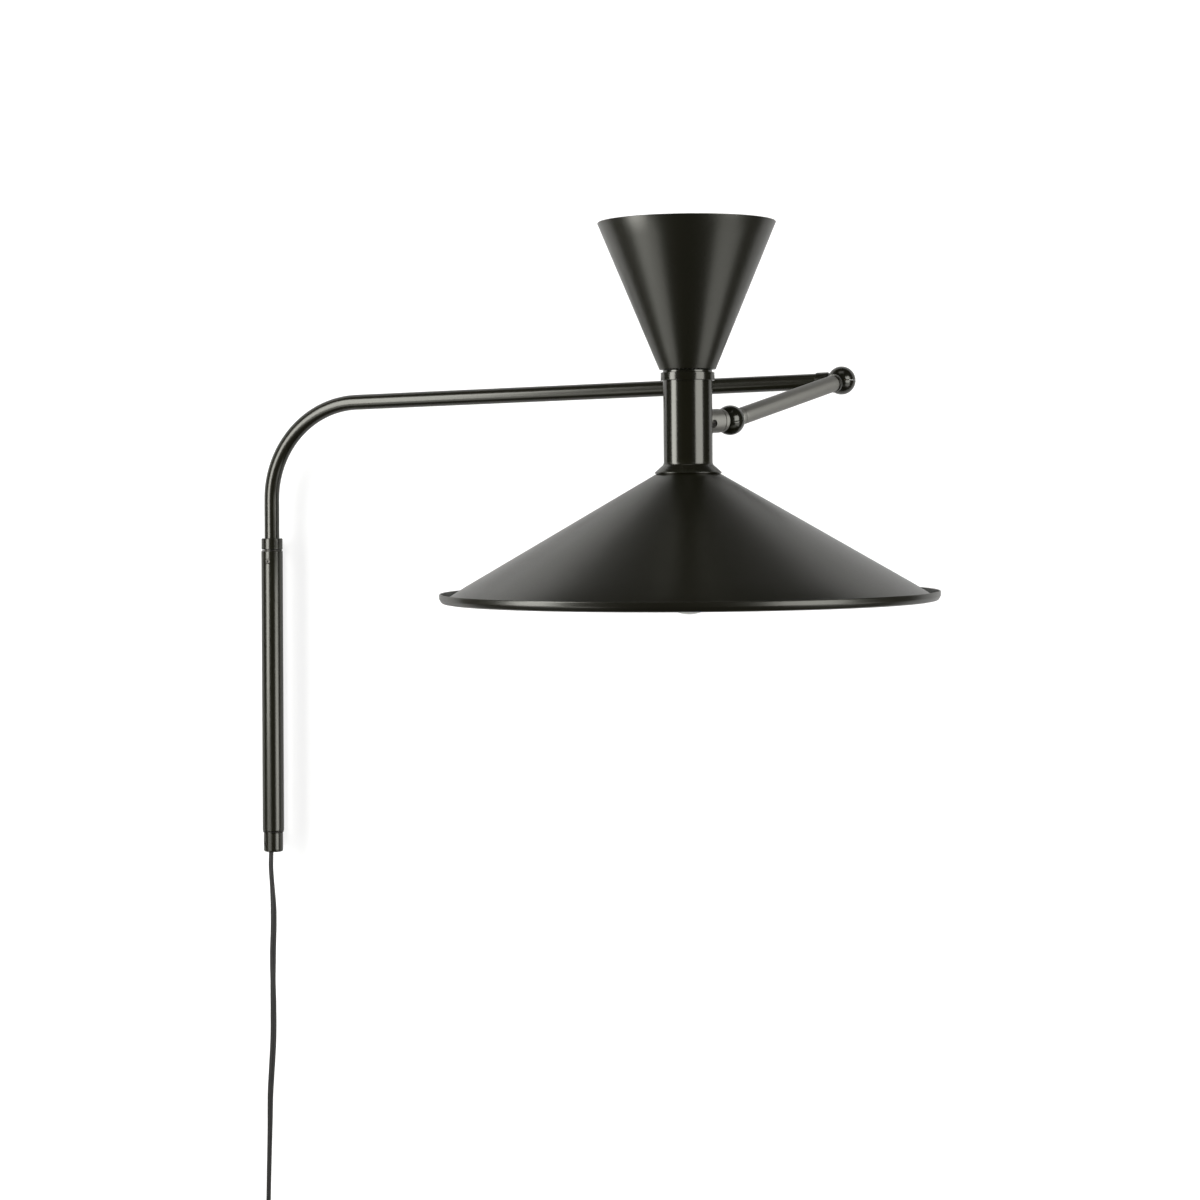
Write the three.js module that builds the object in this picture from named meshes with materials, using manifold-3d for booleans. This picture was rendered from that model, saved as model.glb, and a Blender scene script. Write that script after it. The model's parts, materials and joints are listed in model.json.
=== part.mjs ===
// A swing-arm wall lamp: a wall plate with two bracket collars, a wall tube that turns between them with a bent
// arm tube, two hollow ball joints with a short fore arm between them, and a head with a wide shade below and a
// small open cone above.  Millimetres, +Z up.  The wall is the plane y = 0 and the lamp stands out towards -Y.
// The origin is the centre of the wall plate's back.
import * as THREE from "three";
import { mergeVertices } from "three/addons/utils/BufferGeometryUtils.js";
import Module from "manifold-3d";

const wasm = await Module();
wasm.setup();

// ---------------------------------------------------------------- driving dimensions
const GAP = 0.3; // between pieces that rest on each other
const RUN = 0.35; // radial clearance of turning pieces

const PLATE = { width: 9, thickness: 3, bottom: -113, top: 110, screwHole: 2.2, screwHeight: 60 };
const AXIS_Y = -20; // the wall tube's axis is (0, AXIS_Y)
const STEM = { radius: 3.4, boltRadius: 1.5, headRadius: 3, boltEnd: -10 };
const UPPER_COLLAR = { radius: 7.6, bottom: 104.6, top: 112.5 };
const LOWER_COLLAR = { radius: 6.95, bottom: -115.5, top: -101.5, spigotTop: -90 };
const WASHER = { radius: 7.5, thickness: 0.7 };
const WALL_TUBE = { radius: 7.75, bore: 5.7, bottom: -100.2, top: 103.3 };

const ARM = { radius: 5.35, bore: 4.35, azimuth: -19.8, rise: 1.7, length: 425, bend: 69.5 };
const ARM_CORNER_Z = 208.2; // where the arm's axis meets the wall tube's axis
const ARM_LEG_BOTTOM = 62;
const FORE_ARM = { radius: 5.5, bore: 4.5, azimuth: -126, rise: -12.2, length: 139.1 };
const STUB = { radius: 7.5, bore: 4.55, azimuth: -133.5, rise: -2.9, length: 40 };
const LEAD_RADIUS = 2.2;
const HEAD_ROLL = -0.5; // degrees about Y

const BALL = { radius: 9.4, cavity: 8, cavityHeight: 6.5 };
const SEAT_RADIUS = 9.8; // the round seats that ride on a ball
const STEM_RADIUS = 1.8; // the rods that enter a ball
const ELBOW = { swivel: [-4, 143], tilt: [-15, 15] };
const HEAD_JOINT = { swivel: [-40, 60], tilt: [-20, 22] };

// heights in the head are measured from the stub's axis
const NECK = { radius: 15.2, bore: 13.9, bottom: -24.8, top: 32.2, ringBottom: 25.7, ringTop: 30.7 };
const FLANGE = { radius: 20, bottom: -31.6, edge: 1.1, top: -25.1 };
const SHADE = { top: -31.9, topRadius: 20, rim: -106.9, rimRadius: 149.5, sheet: 1.2, lipRadius: 155 };
const CONE = { bottom: 32.5, bottomRadius: 17.4, top: 123, topRadius: 55.2, sheet: 1 };
const HOLDER = { radius: 13.4, inner: 6, mouth: 67, socket: 7.3, socketDepth: 24 };
const BULB = { radius: 22.5, capRadius: 6.9, capLength: 21, wall: 1, neckRadius: 8.6 };
const UPPER_HOLDER_MOUTH = 62;

// the mains cord hangs from the lower collar, its spare length is wound into a coil below
const CORD_RADIUS = 2.1;
const CORD_ROUTE = [
  [-1.6, -20, -116.1],
  [-1.9, -20, -126],
  [-1.2, -20, -139],
  [-0.3, -20, -155],
  [-0.2, -20, -170],
  [-0.8, -19.9, -190],
  [-0.9, -19.7, -210],
  [-0.7, -19.5, -232],
  [-0.9, -19.3, -253],
  [-2.0, -19.0, -273],
  [-3.3, -18.6, -294],
  [-3.8, -18.2, -318],
  [-4.4, -17.8, -340],
  [-5.0, -17.4, -362],
  [-5.4, -17.1, -378],
  [-5.6, -17.0, -396.5],
];
const COIL = { x: 25, y: -23.6, z: -414.6, middle: 26.2, depth: 13.2, width: 17.6 };
const TAIL_ROUTE = [
  [3.2, -34.9, -408],
  [3.2, -34.9, -430],
  [3.1, -34.9, -450],
  [3.1, -34.9, -470.2],
];
const PLUG = { top: -470.5, length: 30, width: 25, thickness: 13.4, neck: 4.6 };
const PLUG_BOOT = { length: 22, topRadius: 2.9, bottomRadius: 4.4, overlap: 4 }; // the cord's strain relief
const PLUG_PIN = { radius: 2, length: 19, spacing: 18.6 };

// ---------------------------------------------------------------- materials
const finish = (color, roughness, metalness) =>
  new THREE.MeshStandardMaterial({ color, roughness, metalness });
const PAINT = finish(0x211f18, 0.42, 0.2);
const GLOSS_PAINT = finish(0x1a1913, 0.22, 0.3);
const SHADE_PAINT = finish(0x23211a, 0.5, 0.1);
const STEEL = finish(0xb9b8b2, 0.3, 1);
const BRASS = finish(0xb08d4a, 0.35, 1);
const BLACK_PLASTIC = finish(0x161614, 0.55, 0);
const HOLDER_PLASTIC = finish(0x1c1c1a, 0.45, 0);
const OPAL_GLASS = finish(0xf3f1ea, 0.35, 0);
const CORD_SHEATH = finish(0x141412, 0.6, 0);

// ---------------------------------------------------------------- helpers
const radians = THREE.MathUtils.degToRad;
const degrees = THREE.MathUtils.radToDeg;
const Z_AXIS = new THREE.Vector3(0, 0, 1);

// the unit vector of an azimuth about Z and a rise above the level, both in degrees
function directionOf({ azimuth, rise }) {
  return new THREE.Vector3(1, 0, 0).applyEuler(new THREE.Euler(0, -radians(rise), radians(azimuth), "ZYX"));
}

// a solid body for joining and cutting
function solidOf(geometry) {
  const bare = new THREE.BufferGeometry().setAttribute("position", geometry.getAttribute("position"));
  if (geometry.index) bare.setIndex(geometry.index);
  const merged = mergeVertices(bare, 1e-4);
  const body = new wasm.Mesh({
    numProp: 3,
    vertProperties: merged.attributes.position.array,
    triVerts: new Uint32Array(merged.index.array),
  });
  return new wasm.Manifold(body);
}

function geometryOf(solid) {
  const body = solid.getMesh();
  return new THREE.BufferGeometry()
    .setAttribute("position", new THREE.BufferAttribute(body.vertProperties, 3))
    .setIndex(new THREE.BufferAttribute(body.triVerts, 1));
}

// points on an arc in a profile, centre (r, z), angles in degrees
function arc(r, z, radius, from, to, steps) {
  const points = [];
  for (let i = 0; i <= steps; i++) {
    const angle = radians(from + ((to - from) * i) / steps);
    points.push([r + radius * Math.cos(angle), z + radius * Math.sin(angle)]);
  }
  return points;
}

// a closed (radius, height) profile turned about Z
function turned(profile, segments = 20) {
  const points = profile.map(([r, z]) => new THREE.Vector2(Math.max(r, 0), z));
  if (THREE.ShapeUtils.area(points) < 0) points.reverse();
  points.push(points[0].clone());
  return new THREE.LatheGeometry(points, segments).rotateX(Math.PI / 2);
}

const rod = (radius, from, to, segments = 16) =>
  turned([[0, from], [radius, from], [radius, to], [0, to]], segments);

const pipe = (radius, bore, from, to, segments = 24) =>
  turned([[bore, from], [radius, from], [radius, to], [bore, to]], segments);

// a Z-turned piece laid along +X, so that heights become distances along X
const alongX = (geometry) => geometry.rotateY(Math.PI / 2);

// a box between two corners
function block(low, high) {
  const size = high.map((value, i) => value - low[i]);
  return new THREE.BoxGeometry(...size).translate(...high.map((value, i) => (value + low[i]) / 2));
}

// a wedge of a disc about Z between two angles in degrees, centred on z = 0
function wedge(radius, from, to, height) {
  const shape = new THREE.Shape().moveTo(0, 0);
  shape.lineTo(radius * Math.cos(radians(from)), radius * Math.sin(radians(from)));
  shape.absarc(0, 0, radius, radians(from), radians(to), false);
  shape.closePath();
  const steps = Math.ceil((to - from) / 40);
  return new THREE.ExtrudeGeometry(shape, { depth: height, bevelEnabled: false, curveSegments: steps })
    .translate(0, 0, -height / 2);
}

function place(parent, name, shape, material) {
  const mesh = new THREE.Mesh(shape.isBufferGeometry ? shape : geometryOf(shape), material);
  mesh.name = name;
  parent.add(mesh);
  return mesh;
}

function frameAt(origin, x, y, z) {
  const group = new THREE.Group();
  group.position.copy(origin);
  group.quaternion.setFromRotationMatrix(new THREE.Matrix4().makeBasis(x, y, z));
  return group;
}

// the path of a bent tube: straight up, one bend, straight on; its stations are the ends and the bend's steps
class BentPath extends THREE.Curve {
  constructor(bottom, top, direction, bendRadius, endDistance, bendSteps) {
    super();
    const turn = Math.PI / 2 - Math.asin(direction.z);
    const tangent = bendRadius * Math.tan(turn / 2);
    const level = new THREE.Vector3(direction.x, direction.y, 0).normalize();
    const start = new THREE.Vector3(0, AXIS_Y, top - tangent);
    this.stations = [new THREE.Vector3(0, AXIS_Y, bottom)];
    for (let i = 0; i <= bendSteps; i++) {
      const angle = (turn * i) / bendSteps;
      const outward = bendRadius * (1 - Math.cos(angle));
      const upward = bendRadius * Math.sin(angle);
      this.stations.push(start.clone().addScaledVector(level, outward).addScaledVector(Z_AXIS, upward));
    }
    this.stations.push(new THREE.Vector3(0, AXIS_Y, top).addScaledVector(direction, endDistance));
  }
  getPoint(t, target = new THREE.Vector3()) {
    const place = Math.min(t, 1) * (this.stations.length - 1);
    const index = Math.min(Math.floor(place), this.stations.length - 2);
    return target.lerpVectors(this.stations[index], this.stations[index + 1], place - index);
  }
  getUtoTmapping(u) {
    return u;
  }
}

function tubeAlong(path, steps, radius, bore, sides) {
  const section = new THREE.Shape().absarc(0, 0, radius, 0, 2 * Math.PI, false);
  if (bore) section.holes.push(new THREE.Path().absarc(0, 0, bore, 0, 2 * Math.PI, true));
  return new THREE.ExtrudeGeometry(section, { steps, extrudePath: path, curveSegments: sides / 2 });
}

// ---------------------------------------------------------------- where the joints are
const armDirection = directionOf(ARM);
const foreArmDirection = directionOf(FORE_ARM);
const stubDirection = directionOf(STUB);
const elbowCentre = new THREE.Vector3(0, AXIS_Y, ARM_CORNER_Z).addScaledVector(armDirection, ARM.length);
const headBallCentre = elbowCentre.clone().addScaledVector(foreArmDirection, FORE_ARM.length);
const headCentre = headBallCentre.clone().addScaledVector(stubDirection, STUB.length);

const lamp = new THREE.Group();

// ---------------------------------------------------------------- wall bracket
function wallPlate() {
  const outline = new THREE.Shape();
  const half = PLATE.width / 2;
  outline.moveTo(-half, PLATE.bottom + half);
  outline.absarc(0, PLATE.bottom + half, half, Math.PI, 2 * Math.PI, false);
  outline.lineTo(half, PLATE.top - half);
  outline.absarc(0, PLATE.top - half, half, 0, Math.PI, false);
  outline.closePath();
  for (const height of [-PLATE.screwHeight, PLATE.screwHeight])
    outline.holes.push(new THREE.Path().absarc(0, height, PLATE.screwHole, 0, 2 * Math.PI, true));
  const plate = new THREE.ExtrudeGeometry(outline, {
    depth: PLATE.thickness,
    bevelEnabled: false,
    curveSegments: 5,
  }).rotateX(Math.PI / 2);
  let solid = solidOf(plate);
  for (const collar of [UPPER_COLLAR, LOWER_COLLAR]) {
    const height = (collar.bottom + collar.top) / 2;
    const headBore = rod(STEM.headRadius + GAP, -1, 2, 14).rotateX(Math.PI / 2).translate(0, 0, height);
    const shankBore = rod(STEM.boltRadius + GAP, -1, 5, 12).rotateX(Math.PI / 2).translate(0, 0, height);
    solid = solid.subtract(solidOf(headBore)).subtract(solidOf(shankBore));
  }
  return solid;
}

// a collar with its stem back to the wall plate, bored for the stem's bolt
function bracket(collar, profile) {
  const height = (collar.bottom + collar.top) / 2;
  const ring = turned(profile, 24).translate(0, AXIS_Y, 0);
  const stemEnd = -AXIS_Y - collar.radius + 1.5;
  const stem = rod(STEM.radius, PLATE.thickness + GAP, stemEnd).rotateX(Math.PI / 2).translate(0, 0, height);
  const bore = rod(STEM.boltRadius + GAP, 0, -STEM.boltEnd + GAP, 12)
    .rotateX(Math.PI / 2)
    .translate(0, 0, height);
  return solidOf(ring).add(solidOf(stem)).subtract(solidOf(bore));
}

function stemBolt(collar) {
  const { headRadius, boltRadius, boltEnd } = STEM;
  const profile = [[0, 0.3], [headRadius, 0.3], [headRadius, 1.7], [boltRadius, 1.7], [boltRadius, -boltEnd]];
  profile.push([0, -boltEnd]);
  return turned(profile, 12).rotateX(Math.PI / 2).translate(0, 0, (collar.bottom + collar.top) / 2);
}

// a screw lying along a radius of an upright cylinder about (0, AXIS_Y)
function radialScrew(radius, from, to, azimuth, height) {
  return alongX(rod(radius, from, to, 12)).rotateZ(radians(azimuth)).translate(0, AXIS_Y, height);
}

const collarChamfer = 0.5;
const upperProfile = [
  [ARM.radius + RUN, UPPER_COLLAR.bottom],
  [UPPER_COLLAR.radius, UPPER_COLLAR.bottom],
  [UPPER_COLLAR.radius, UPPER_COLLAR.top - collarChamfer],
  [UPPER_COLLAR.radius - collarChamfer, UPPER_COLLAR.top],
  [ARM.radius + RUN, UPPER_COLLAR.top],
];
const lowerCorner = 2;
const glandBore = 3;
const lowerProfile = [
  [glandBore, LOWER_COLLAR.bottom],
  ...arc(LOWER_COLLAR.radius - lowerCorner, LOWER_COLLAR.bottom + lowerCorner, lowerCorner, -90, 0, 3),
  [LOWER_COLLAR.radius, LOWER_COLLAR.top],
  [WALL_TUBE.bore - RUN, LOWER_COLLAR.top],
  [WALL_TUBE.bore - RUN, LOWER_COLLAR.spigotTop],
  [glandBore, LOWER_COLLAR.spigotTop],
];
const GRUB = { radius: 1.6, depth: 2.2, azimuth: -147, height: -109.5 };
const grubHole = radialScrew(GRUB.radius + GAP, LOWER_COLLAR.radius - GRUB.depth - GAP, 12, GRUB.azimuth, GRUB.height);

place(lamp, "wall_plate", wallPlate(), PAINT);
place(lamp, "upper_bracket", bracket(UPPER_COLLAR, upperProfile), PAINT);
place(lamp, "lower_bracket", bracket(LOWER_COLLAR, lowerProfile).subtract(solidOf(grubHole)), PAINT);
place(lamp, "upper_stem_bolt", stemBolt(UPPER_COLLAR), STEEL);
place(lamp, "lower_stem_bolt", stemBolt(LOWER_COLLAR), STEEL);
place(
  lamp,
  "cord_grub_screw",
  radialScrew(GRUB.radius, LOWER_COLLAR.radius - GRUB.depth, LOWER_COLLAR.radius - 0.2, GRUB.azimuth, GRUB.height),
  STEEL,
);
for (const [name, bottom] of [["upper_washer", WALL_TUBE.top + GAP], ["lower_washer", LOWER_COLLAR.top + GAP]])
  place(
    lamp,
    name,
    pipe(WASHER.radius, WALL_TUBE.bore, bottom, bottom + WASHER.thickness).translate(0, AXIS_Y, 0),
    STEEL,
  );
place(lamp, "cord_gland", rod(glandBore - GAP, -115.5, -104, 16).translate(0, AXIS_Y, 0), BLACK_PLASTIC);

// ---------------------------------------------------------------- mains cord, its coil, tie and plug
const pointsOf = (route) => route.map((point) => new THREE.Vector3(...point));
const cordPath = new THREE.CatmullRomCurve3(pointsOf(CORD_ROUTE));
const tailPath = new THREE.CatmullRomCurve3(pointsOf(TAIL_ROUTE));

function coilRing() {
  const corner = 4;
  const inner = COIL.middle - COIL.depth / 2;
  const outer = COIL.middle + COIL.depth / 2;
  const half = COIL.width / 2;
  const profile = [
    ...arc(outer - corner, half - corner, corner, 0, 90, 2),
    ...arc(inner + corner, half - corner, corner, 90, 180, 2),
    ...arc(inner + corner, -half + corner, corner, 180, 270, 2),
    ...arc(outer - corner, -half + corner, corner, 270, 360, 2),
  ];
  return turned(profile, 28).rotateX(Math.PI / 2).translate(COIL.x, COIL.y, COIL.z);
}

// a strap round the coil's section on its left side and the tail that runs down beside it
function coilTie() {
  const strap = { thickness: 1, height: 7, slack: 0.8 };
  const rectangle = (grow) => {
    const x = COIL.depth / 2 + strap.slack + grow;
    const back = COIL.width / 2 + strap.slack / 2 + grow;
    const front = -(COIL.width / 2 + 2 * CORD_RADIUS + strap.slack + grow);
    return [[-x, front], [x, front], [x, back], [-x, back]].map((point) => new THREE.Vector2(...point));
  };
  const section = new THREE.Shape(rectangle(strap.thickness));
  section.holes.push(new THREE.Path(rectangle(0).reverse()));
  return new THREE.ExtrudeGeometry(section, { depth: strap.height, bevelEnabled: false })
    .translate(COIL.x - COIL.middle, COIL.y, COIL.z - strap.height / 2);
}

// a flat plug body hanging from the tail, broad at the pins and waisted towards the cord, with a tapered boot
function plugBody() {
  const half = PLUG.width / 2;
  const { neck } = PLUG;
  const waist = -PLUG.length * 0.4;
  const shoulder = -PLUG.length * 0.62;
  const outline = new THREE.Shape();
  outline.moveTo(-half, -PLUG.length);
  outline.lineTo(half, -PLUG.length);
  outline.lineTo(half, shoulder);
  outline.bezierCurveTo(half, waist, neck, waist, neck, 0);
  outline.lineTo(-neck, 0);
  outline.bezierCurveTo(-neck, waist, -half, waist, -half, shoulder);
  const body = new THREE.ExtrudeGeometry(outline, {
    depth: PLUG.thickness,
    bevelEnabled: false,
    curveSegments: 5,
  })
    .translate(0, 0, -PLUG.thickness / 2)
    .rotateX(Math.PI / 2)
    .translate(0, 0, -PLUG_BOOT.length);
  const bootEnd = -PLUG_BOOT.length - PLUG_BOOT.overlap;
  const boot = turned([[0, 0], [PLUG_BOOT.topRadius, 0], [PLUG_BOOT.bottomRadius, bootEnd], [0, bootEnd]]);
  return solidOf(body).add(solidOf(boot)).translate(tailEnd.x, tailEnd.y, PLUG.top);
}

const tailEnd = tailPath.getPoint(1);
place(lamp, "mains_cord", tubeAlong(cordPath, 28, CORD_RADIUS, 0, 8), CORD_SHEATH);
place(lamp, "cord_coil", coilRing(), CORD_SHEATH);
place(lamp, "cord_tie", coilTie(), BLACK_PLASTIC);
place(lamp, "cord_tail", tubeAlong(tailPath, 4, CORD_RADIUS, 0, 8), CORD_SHEATH);
place(lamp, "plug_body", plugBody(), BLACK_PLASTIC);
for (const [name, side] of [["plug_pin_left", -1], ["plug_pin_right", 1]]) {
  const pinTop = PLUG.top - PLUG_BOOT.length - PLUG.length - GAP;
  const pinEnd = pinTop - PLUG_PIN.length;
  const pin = turned([
    [0, pinTop],
    [PLUG_PIN.radius, pinTop],
    [PLUG_PIN.radius, pinEnd + 1],
    [PLUG_PIN.radius - 1, pinEnd],
    [0, pinEnd],
  ], 12);
  place(lamp, name, pin.translate(tailEnd.x + (side * PLUG_PIN.spacing) / 2, tailEnd.y, 0), STEEL);
}

// ---------------------------------------------------------------- wall tube and arm
const TUBE_SCREW = { radius: 1.7, azimuth: -107.4, height: 96, inner: 5.75, outer: 7.9 };
const tubeScrewHole = radialScrew(TUBE_SCREW.radius + GAP, 3, 12, TUBE_SCREW.azimuth, TUBE_SCREW.height);
const wallTube = solidOf(
  pipe(WALL_TUBE.radius, WALL_TUBE.bore, WALL_TUBE.bottom, WALL_TUBE.top).translate(0, AXIS_Y, 0),
).subtract(solidOf(tubeScrewHole));
place(lamp, "wall_tube", wallTube, PAINT);
place(
  lamp,
  "tube_set_screw",
  radialScrew(TUBE_SCREW.radius, TUBE_SCREW.inner, TUBE_SCREW.outer, TUBE_SCREW.azimuth, TUBE_SCREW.height),
  STEEL,
);

const FERRULE = { spigot: 27, stemBore: STEM_RADIUS + GAP };
const ARM_FERRULE_LENGTH = 17;
const FORE_FERRULE_LENGTH = 12;
const bendSteps = 8;
const armPath = new BentPath(
  ARM_LEG_BOTTOM, ARM_CORNER_Z, armDirection, ARM.bend, ARM.length - ARM_FERRULE_LENGTH - GAP, bendSteps,
);
const leadPath = new BentPath(
  LOWER_COLLAR.spigotTop + 4, ARM_CORNER_Z, armDirection, ARM.bend, ARM.length - FERRULE.spigot - 3, bendSteps,
);
place(lamp, "arm_tube", tubeAlong(armPath, bendSteps + 2, ARM.radius, ARM.bore, 16), PAINT);
place(lamp, "arm_lead", tubeAlong(leadPath, bendSteps + 2, LEAD_RADIUS, 0, 6), CORD_SHEATH);

// ---------------------------------------------------------------- ball joints
// A ball of two half shells turns about a yoke on the arm that carries it (swivel).  Inside, a barrel fixed to
// both halves holds a cross pin, and the stud of the carried arm tilts on that pin.
function ballJoint(name, centre, inner, outer, range) {
  const swivel = Z_AXIS.clone().addScaledVector(inner, -inner.z).normalize();
  const level = outer.clone().addScaledVector(swivel, -outer.dot(swivel)).normalize();
  const tilt = new THREE.Vector3().crossVectors(swivel, level);
  const frames = {
    ball: frameAt(centre, level, tilt, swivel),
    yoke: frameAt(centre, inner, new THREE.Vector3().crossVectors(swivel, inner), swivel),
    stud: frameAt(centre, outer, tilt, new THREE.Vector3().crossVectors(outer, tilt)),
  };
  lamp.add(frames.ball, frames.yoke, frames.stud);

  const innerAzimuth = degrees(Math.atan2(inner.dot(tilt), inner.dot(level)));
  const elevation = degrees(Math.asin(outer.dot(swivel)));
  const slotHalf = STEM_RADIUS + GAP;
  const margin = degrees(Math.asin(slotHalf / BALL.cavity)) + 1;
  const stemSlot = wedge(
    12, innerAzimuth - range.swivel[1] - margin, innerAzimuth - range.swivel[0] + margin, 2 * slotHalf,
  );
  const studSlot = wedge(
    12, elevation - range.tilt[1] - margin, elevation - range.tilt[0] + margin, 2 * slotHalf,
  ).rotateX(Math.PI / 2);
  const slots = solidOf(stemSlot).add(solidOf(studSlot));

  const hub = { radius: 2.05, end: 7.9 };
  const barrel = { radius: 5.2, half: 4.2, slot: 2, windowHalf: 3.4, windowBack: -3.3, openFrom: 2.1 };
  const parting = GAP / 2;
  const poleStart = degrees(Math.asin(parting / BALL.radius));
  const cavityStart = degrees(Math.asin(parting / BALL.cavity));
  const cavityEnd = degrees(Math.asin(BALL.cavityHeight / BALL.cavity));
  const shell = [
    ...arc(0, 0, BALL.radius, poleStart, 90, 5),
    [0, hub.end + GAP],
    [hub.radius + GAP, hub.end + GAP],
    [hub.radius + GAP, BALL.cavityHeight],
    ...arc(0, 0, BALL.cavity, cavityEnd, cavityStart, 3),
  ];
  const half = solidOf(turned(shell));
  const lowerHalf = solidOf(turned(shell.map(([r, z]) => [r, -z])));
  place(frames.ball, name + "_ball_upper", half.subtract(slots), GLOSS_PAINT);
  place(frames.ball, name + "_ball_lower", lowerHalf.subtract(slots), GLOSS_PAINT);

  const pinRadius = 1;
  const pinHole = rod(pinRadius + GAP, -8, 8, 10).rotateX(Math.PI / 2);
  const barrelProfile = [
    [0, -hub.end],
    [hub.radius, -hub.end],
    [hub.radius, -barrel.half],
    [barrel.radius, -barrel.half],
    [barrel.radius, barrel.half],
    [hub.radius, barrel.half],
    [hub.radius, hub.end],
    [0, hub.end],
  ];
  const barrelSolid = solidOf(turned(barrelProfile, 16))
    .subtract(solidOf(block([barrel.windowBack, -barrel.slot, -barrel.windowHalf], [8, barrel.slot, barrel.windowHalf])))
    .subtract(solidOf(block([barrel.openFrom, -barrel.slot, -6], [8, barrel.slot, 6])))
    .subtract(solidOf(pinHole));
  place(frames.ball, name + "_barrel", barrelSolid, BRASS);
  place(frames.ball, name + "_cross_pin", rod(pinRadius, -4.9, 4.9, 10).rotateX(Math.PI / 2), STEEL);

  // the yoke: two rings on the barrel's hubs, a web outside the barrel and a stem out through the swivel slot
  const yoke = { width: 3.1, web: 7.6, inside: barrel.radius + RUN, low: barrel.half + GAP, high: 6.2, ring: 3.6 };
  const web = solidOf(new THREE.SphereGeometry(yoke.web, 16, 10))
    .intersect(solidOf(block([0, -yoke.width, -yoke.high], [9, yoke.width, yoke.high])))
    .subtract(solidOf(rod(yoke.inside, -yoke.low, yoke.low)));
  const rings = solidOf(rod(yoke.ring, yoke.low, yoke.high)).add(solidOf(rod(yoke.ring, -yoke.high, -yoke.low)));
  const yokeSolid = web
    .add(rings)
    .subtract(solidOf(rod(hub.radius + RUN, -8, 8)))
    .add(solidOf(alongX(rod(STEM_RADIUS, 6, 20, 12))));
  place(frames.yoke, name + "_yoke", yokeSolid, STEEL);

  // the stud: an eye on the cross pin, a flat shank and a round spigot
  const eye = { radius: 2.9, half: 1.7, shankEnd: 6.2, spigotFrom: 12.2, spigotTo: 24, spigot: 4.2 };
  const studSolid = solidOf(rod(eye.radius, -eye.half, eye.half).rotateX(Math.PI / 2))
    .add(solidOf(block([0, -eye.half, -STEM_RADIUS], [eye.shankEnd, eye.half, STEM_RADIUS])))
    .subtract(solidOf(pinHole))
    .add(solidOf(alongX(rod(STEM_RADIUS, 6, eye.spigotFrom + 1, 12))))
    .add(solidOf(alongX(rod(eye.spigot, eye.spigotFrom, eye.spigotTo))));
  place(frames.stud, name + "_stud", studSolid, STEEL);
  return frames;
}

// a turned ring or ferrule with a round seat that rides on the ball, lying along X from the ball's centre
function seatProfile(radius, bore, chamferRadius, shoulder) {
  const seat = (r) => degrees(Math.acos(r / SEAT_RADIUS));
  return [...arc(0, 0, SEAT_RADIUS, seat(bore), seat(chamferRadius), 2), [radius, shoulder]];
}

const elbow = ballJoint("elbow", elbowCentre, armDirection.clone().negate(), foreArmDirection, ELBOW);
const headJoint = ballJoint(
  "head", headBallCentre, foreArmDirection.clone().negate(), stubDirection, HEAD_JOINT,
);

const chamferAt = 5.3;
const shoulderAt = 9.2;
function ferrule(radius, length, tubeBore) {
  const profile = [
    ...seatProfile(radius, FERRULE.stemBore, Math.min(chamferAt, radius - 0.3), shoulderAt),
    [radius, length],
    [tubeBore - GAP, length],
    [tubeBore - GAP, FERRULE.spigot],
    [FERRULE.stemBore, FERRULE.spigot],
  ];
  return alongX(turned(profile));
}
place(elbow.yoke, "arm_end_ferrule", ferrule(6, ARM_FERRULE_LENGTH, ARM.bore), PAINT);
place(headJoint.yoke, "fore_arm_end_ferrule", ferrule(FORE_ARM.radius, FORE_FERRULE_LENGTH, FORE_ARM.bore), PAINT);

const foreArmStart = 12;
const foreArmRing = [
  ...seatProfile(6.1, FERRULE.stemBore, chamferAt, shoulderAt),
  [6.1, 11.3],
  [5.8, 11.6],
  [FERRULE.stemBore, 11.6],
];
place(elbow.stud, "fore_arm_ring", alongX(turned(foreArmRing)), PAINT);
place(
  elbow.stud,
  "fore_arm_tube",
  alongX(pipe(
    FORE_ARM.radius, FORE_ARM.bore, foreArmStart, FORE_ARM.length - FORE_FERRULE_LENGTH - GAP, 20,
  )),
  PAINT,
);
place(elbow.stud, "fore_arm_lead", alongX(rod(LEAD_RADIUS, 25, FORE_ARM.length - FERRULE.spigot - 1, 8)), CORD_SHEATH);

const stubRing = [
  ...seatProfile(6.9, FERRULE.stemBore, 6.5, 7.6),
  [7.3, 8.6],
  [7.3, 10.8],
  [6.9, 11.3],
  [FERRULE.stemBore, 11.3],
];
place(headJoint.stud, "stub_ring", alongX(turned(stubRing)), PAINT);

// ---------------------------------------------------------------- head
const head = new THREE.Group();
head.position.copy(headCentre);
head.rotation.y = radians(HEAD_ROLL);
lamp.add(head);

// the stub runs from the head ball to a saddle on the neck
head.updateMatrixWorld(true);
headJoint.stud.updateMatrixWorld(true);
const headToStud = headJoint.stud.matrixWorld.clone().invert().multiply(head.matrixWorld);
const neckSaddle = rod(NECK.radius + 2 * GAP, -60, 60, 28).applyMatrix4(headToStud);
const STUB_SCREW = { radius: 2.4, along: 23.4, inner: 5, outer: 7.6, angle: -102 };
const stubScrewAt = (radius, inner, outer) =>
  rod(radius, inner, outer, 14).rotateX(radians(STUB_SCREW.angle)).translate(STUB_SCREW.along, 0, 0);
const stubStart = 11.6;
const stubProfile = [
  [STUB.bore, stubStart],
  [6.9, stubStart],
  [STUB.radius, stubStart + 0.7],
  [STUB.radius, STUB.length],
  [STUB.bore, STUB.length],
];
const stub = solidOf(alongX(turned(stubProfile, 24)))
  .subtract(solidOf(neckSaddle))
  .subtract(solidOf(stubScrewAt(STUB_SCREW.radius + GAP, 2, 12)));
place(headJoint.stud, "head_stub", stub, PAINT);
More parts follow.
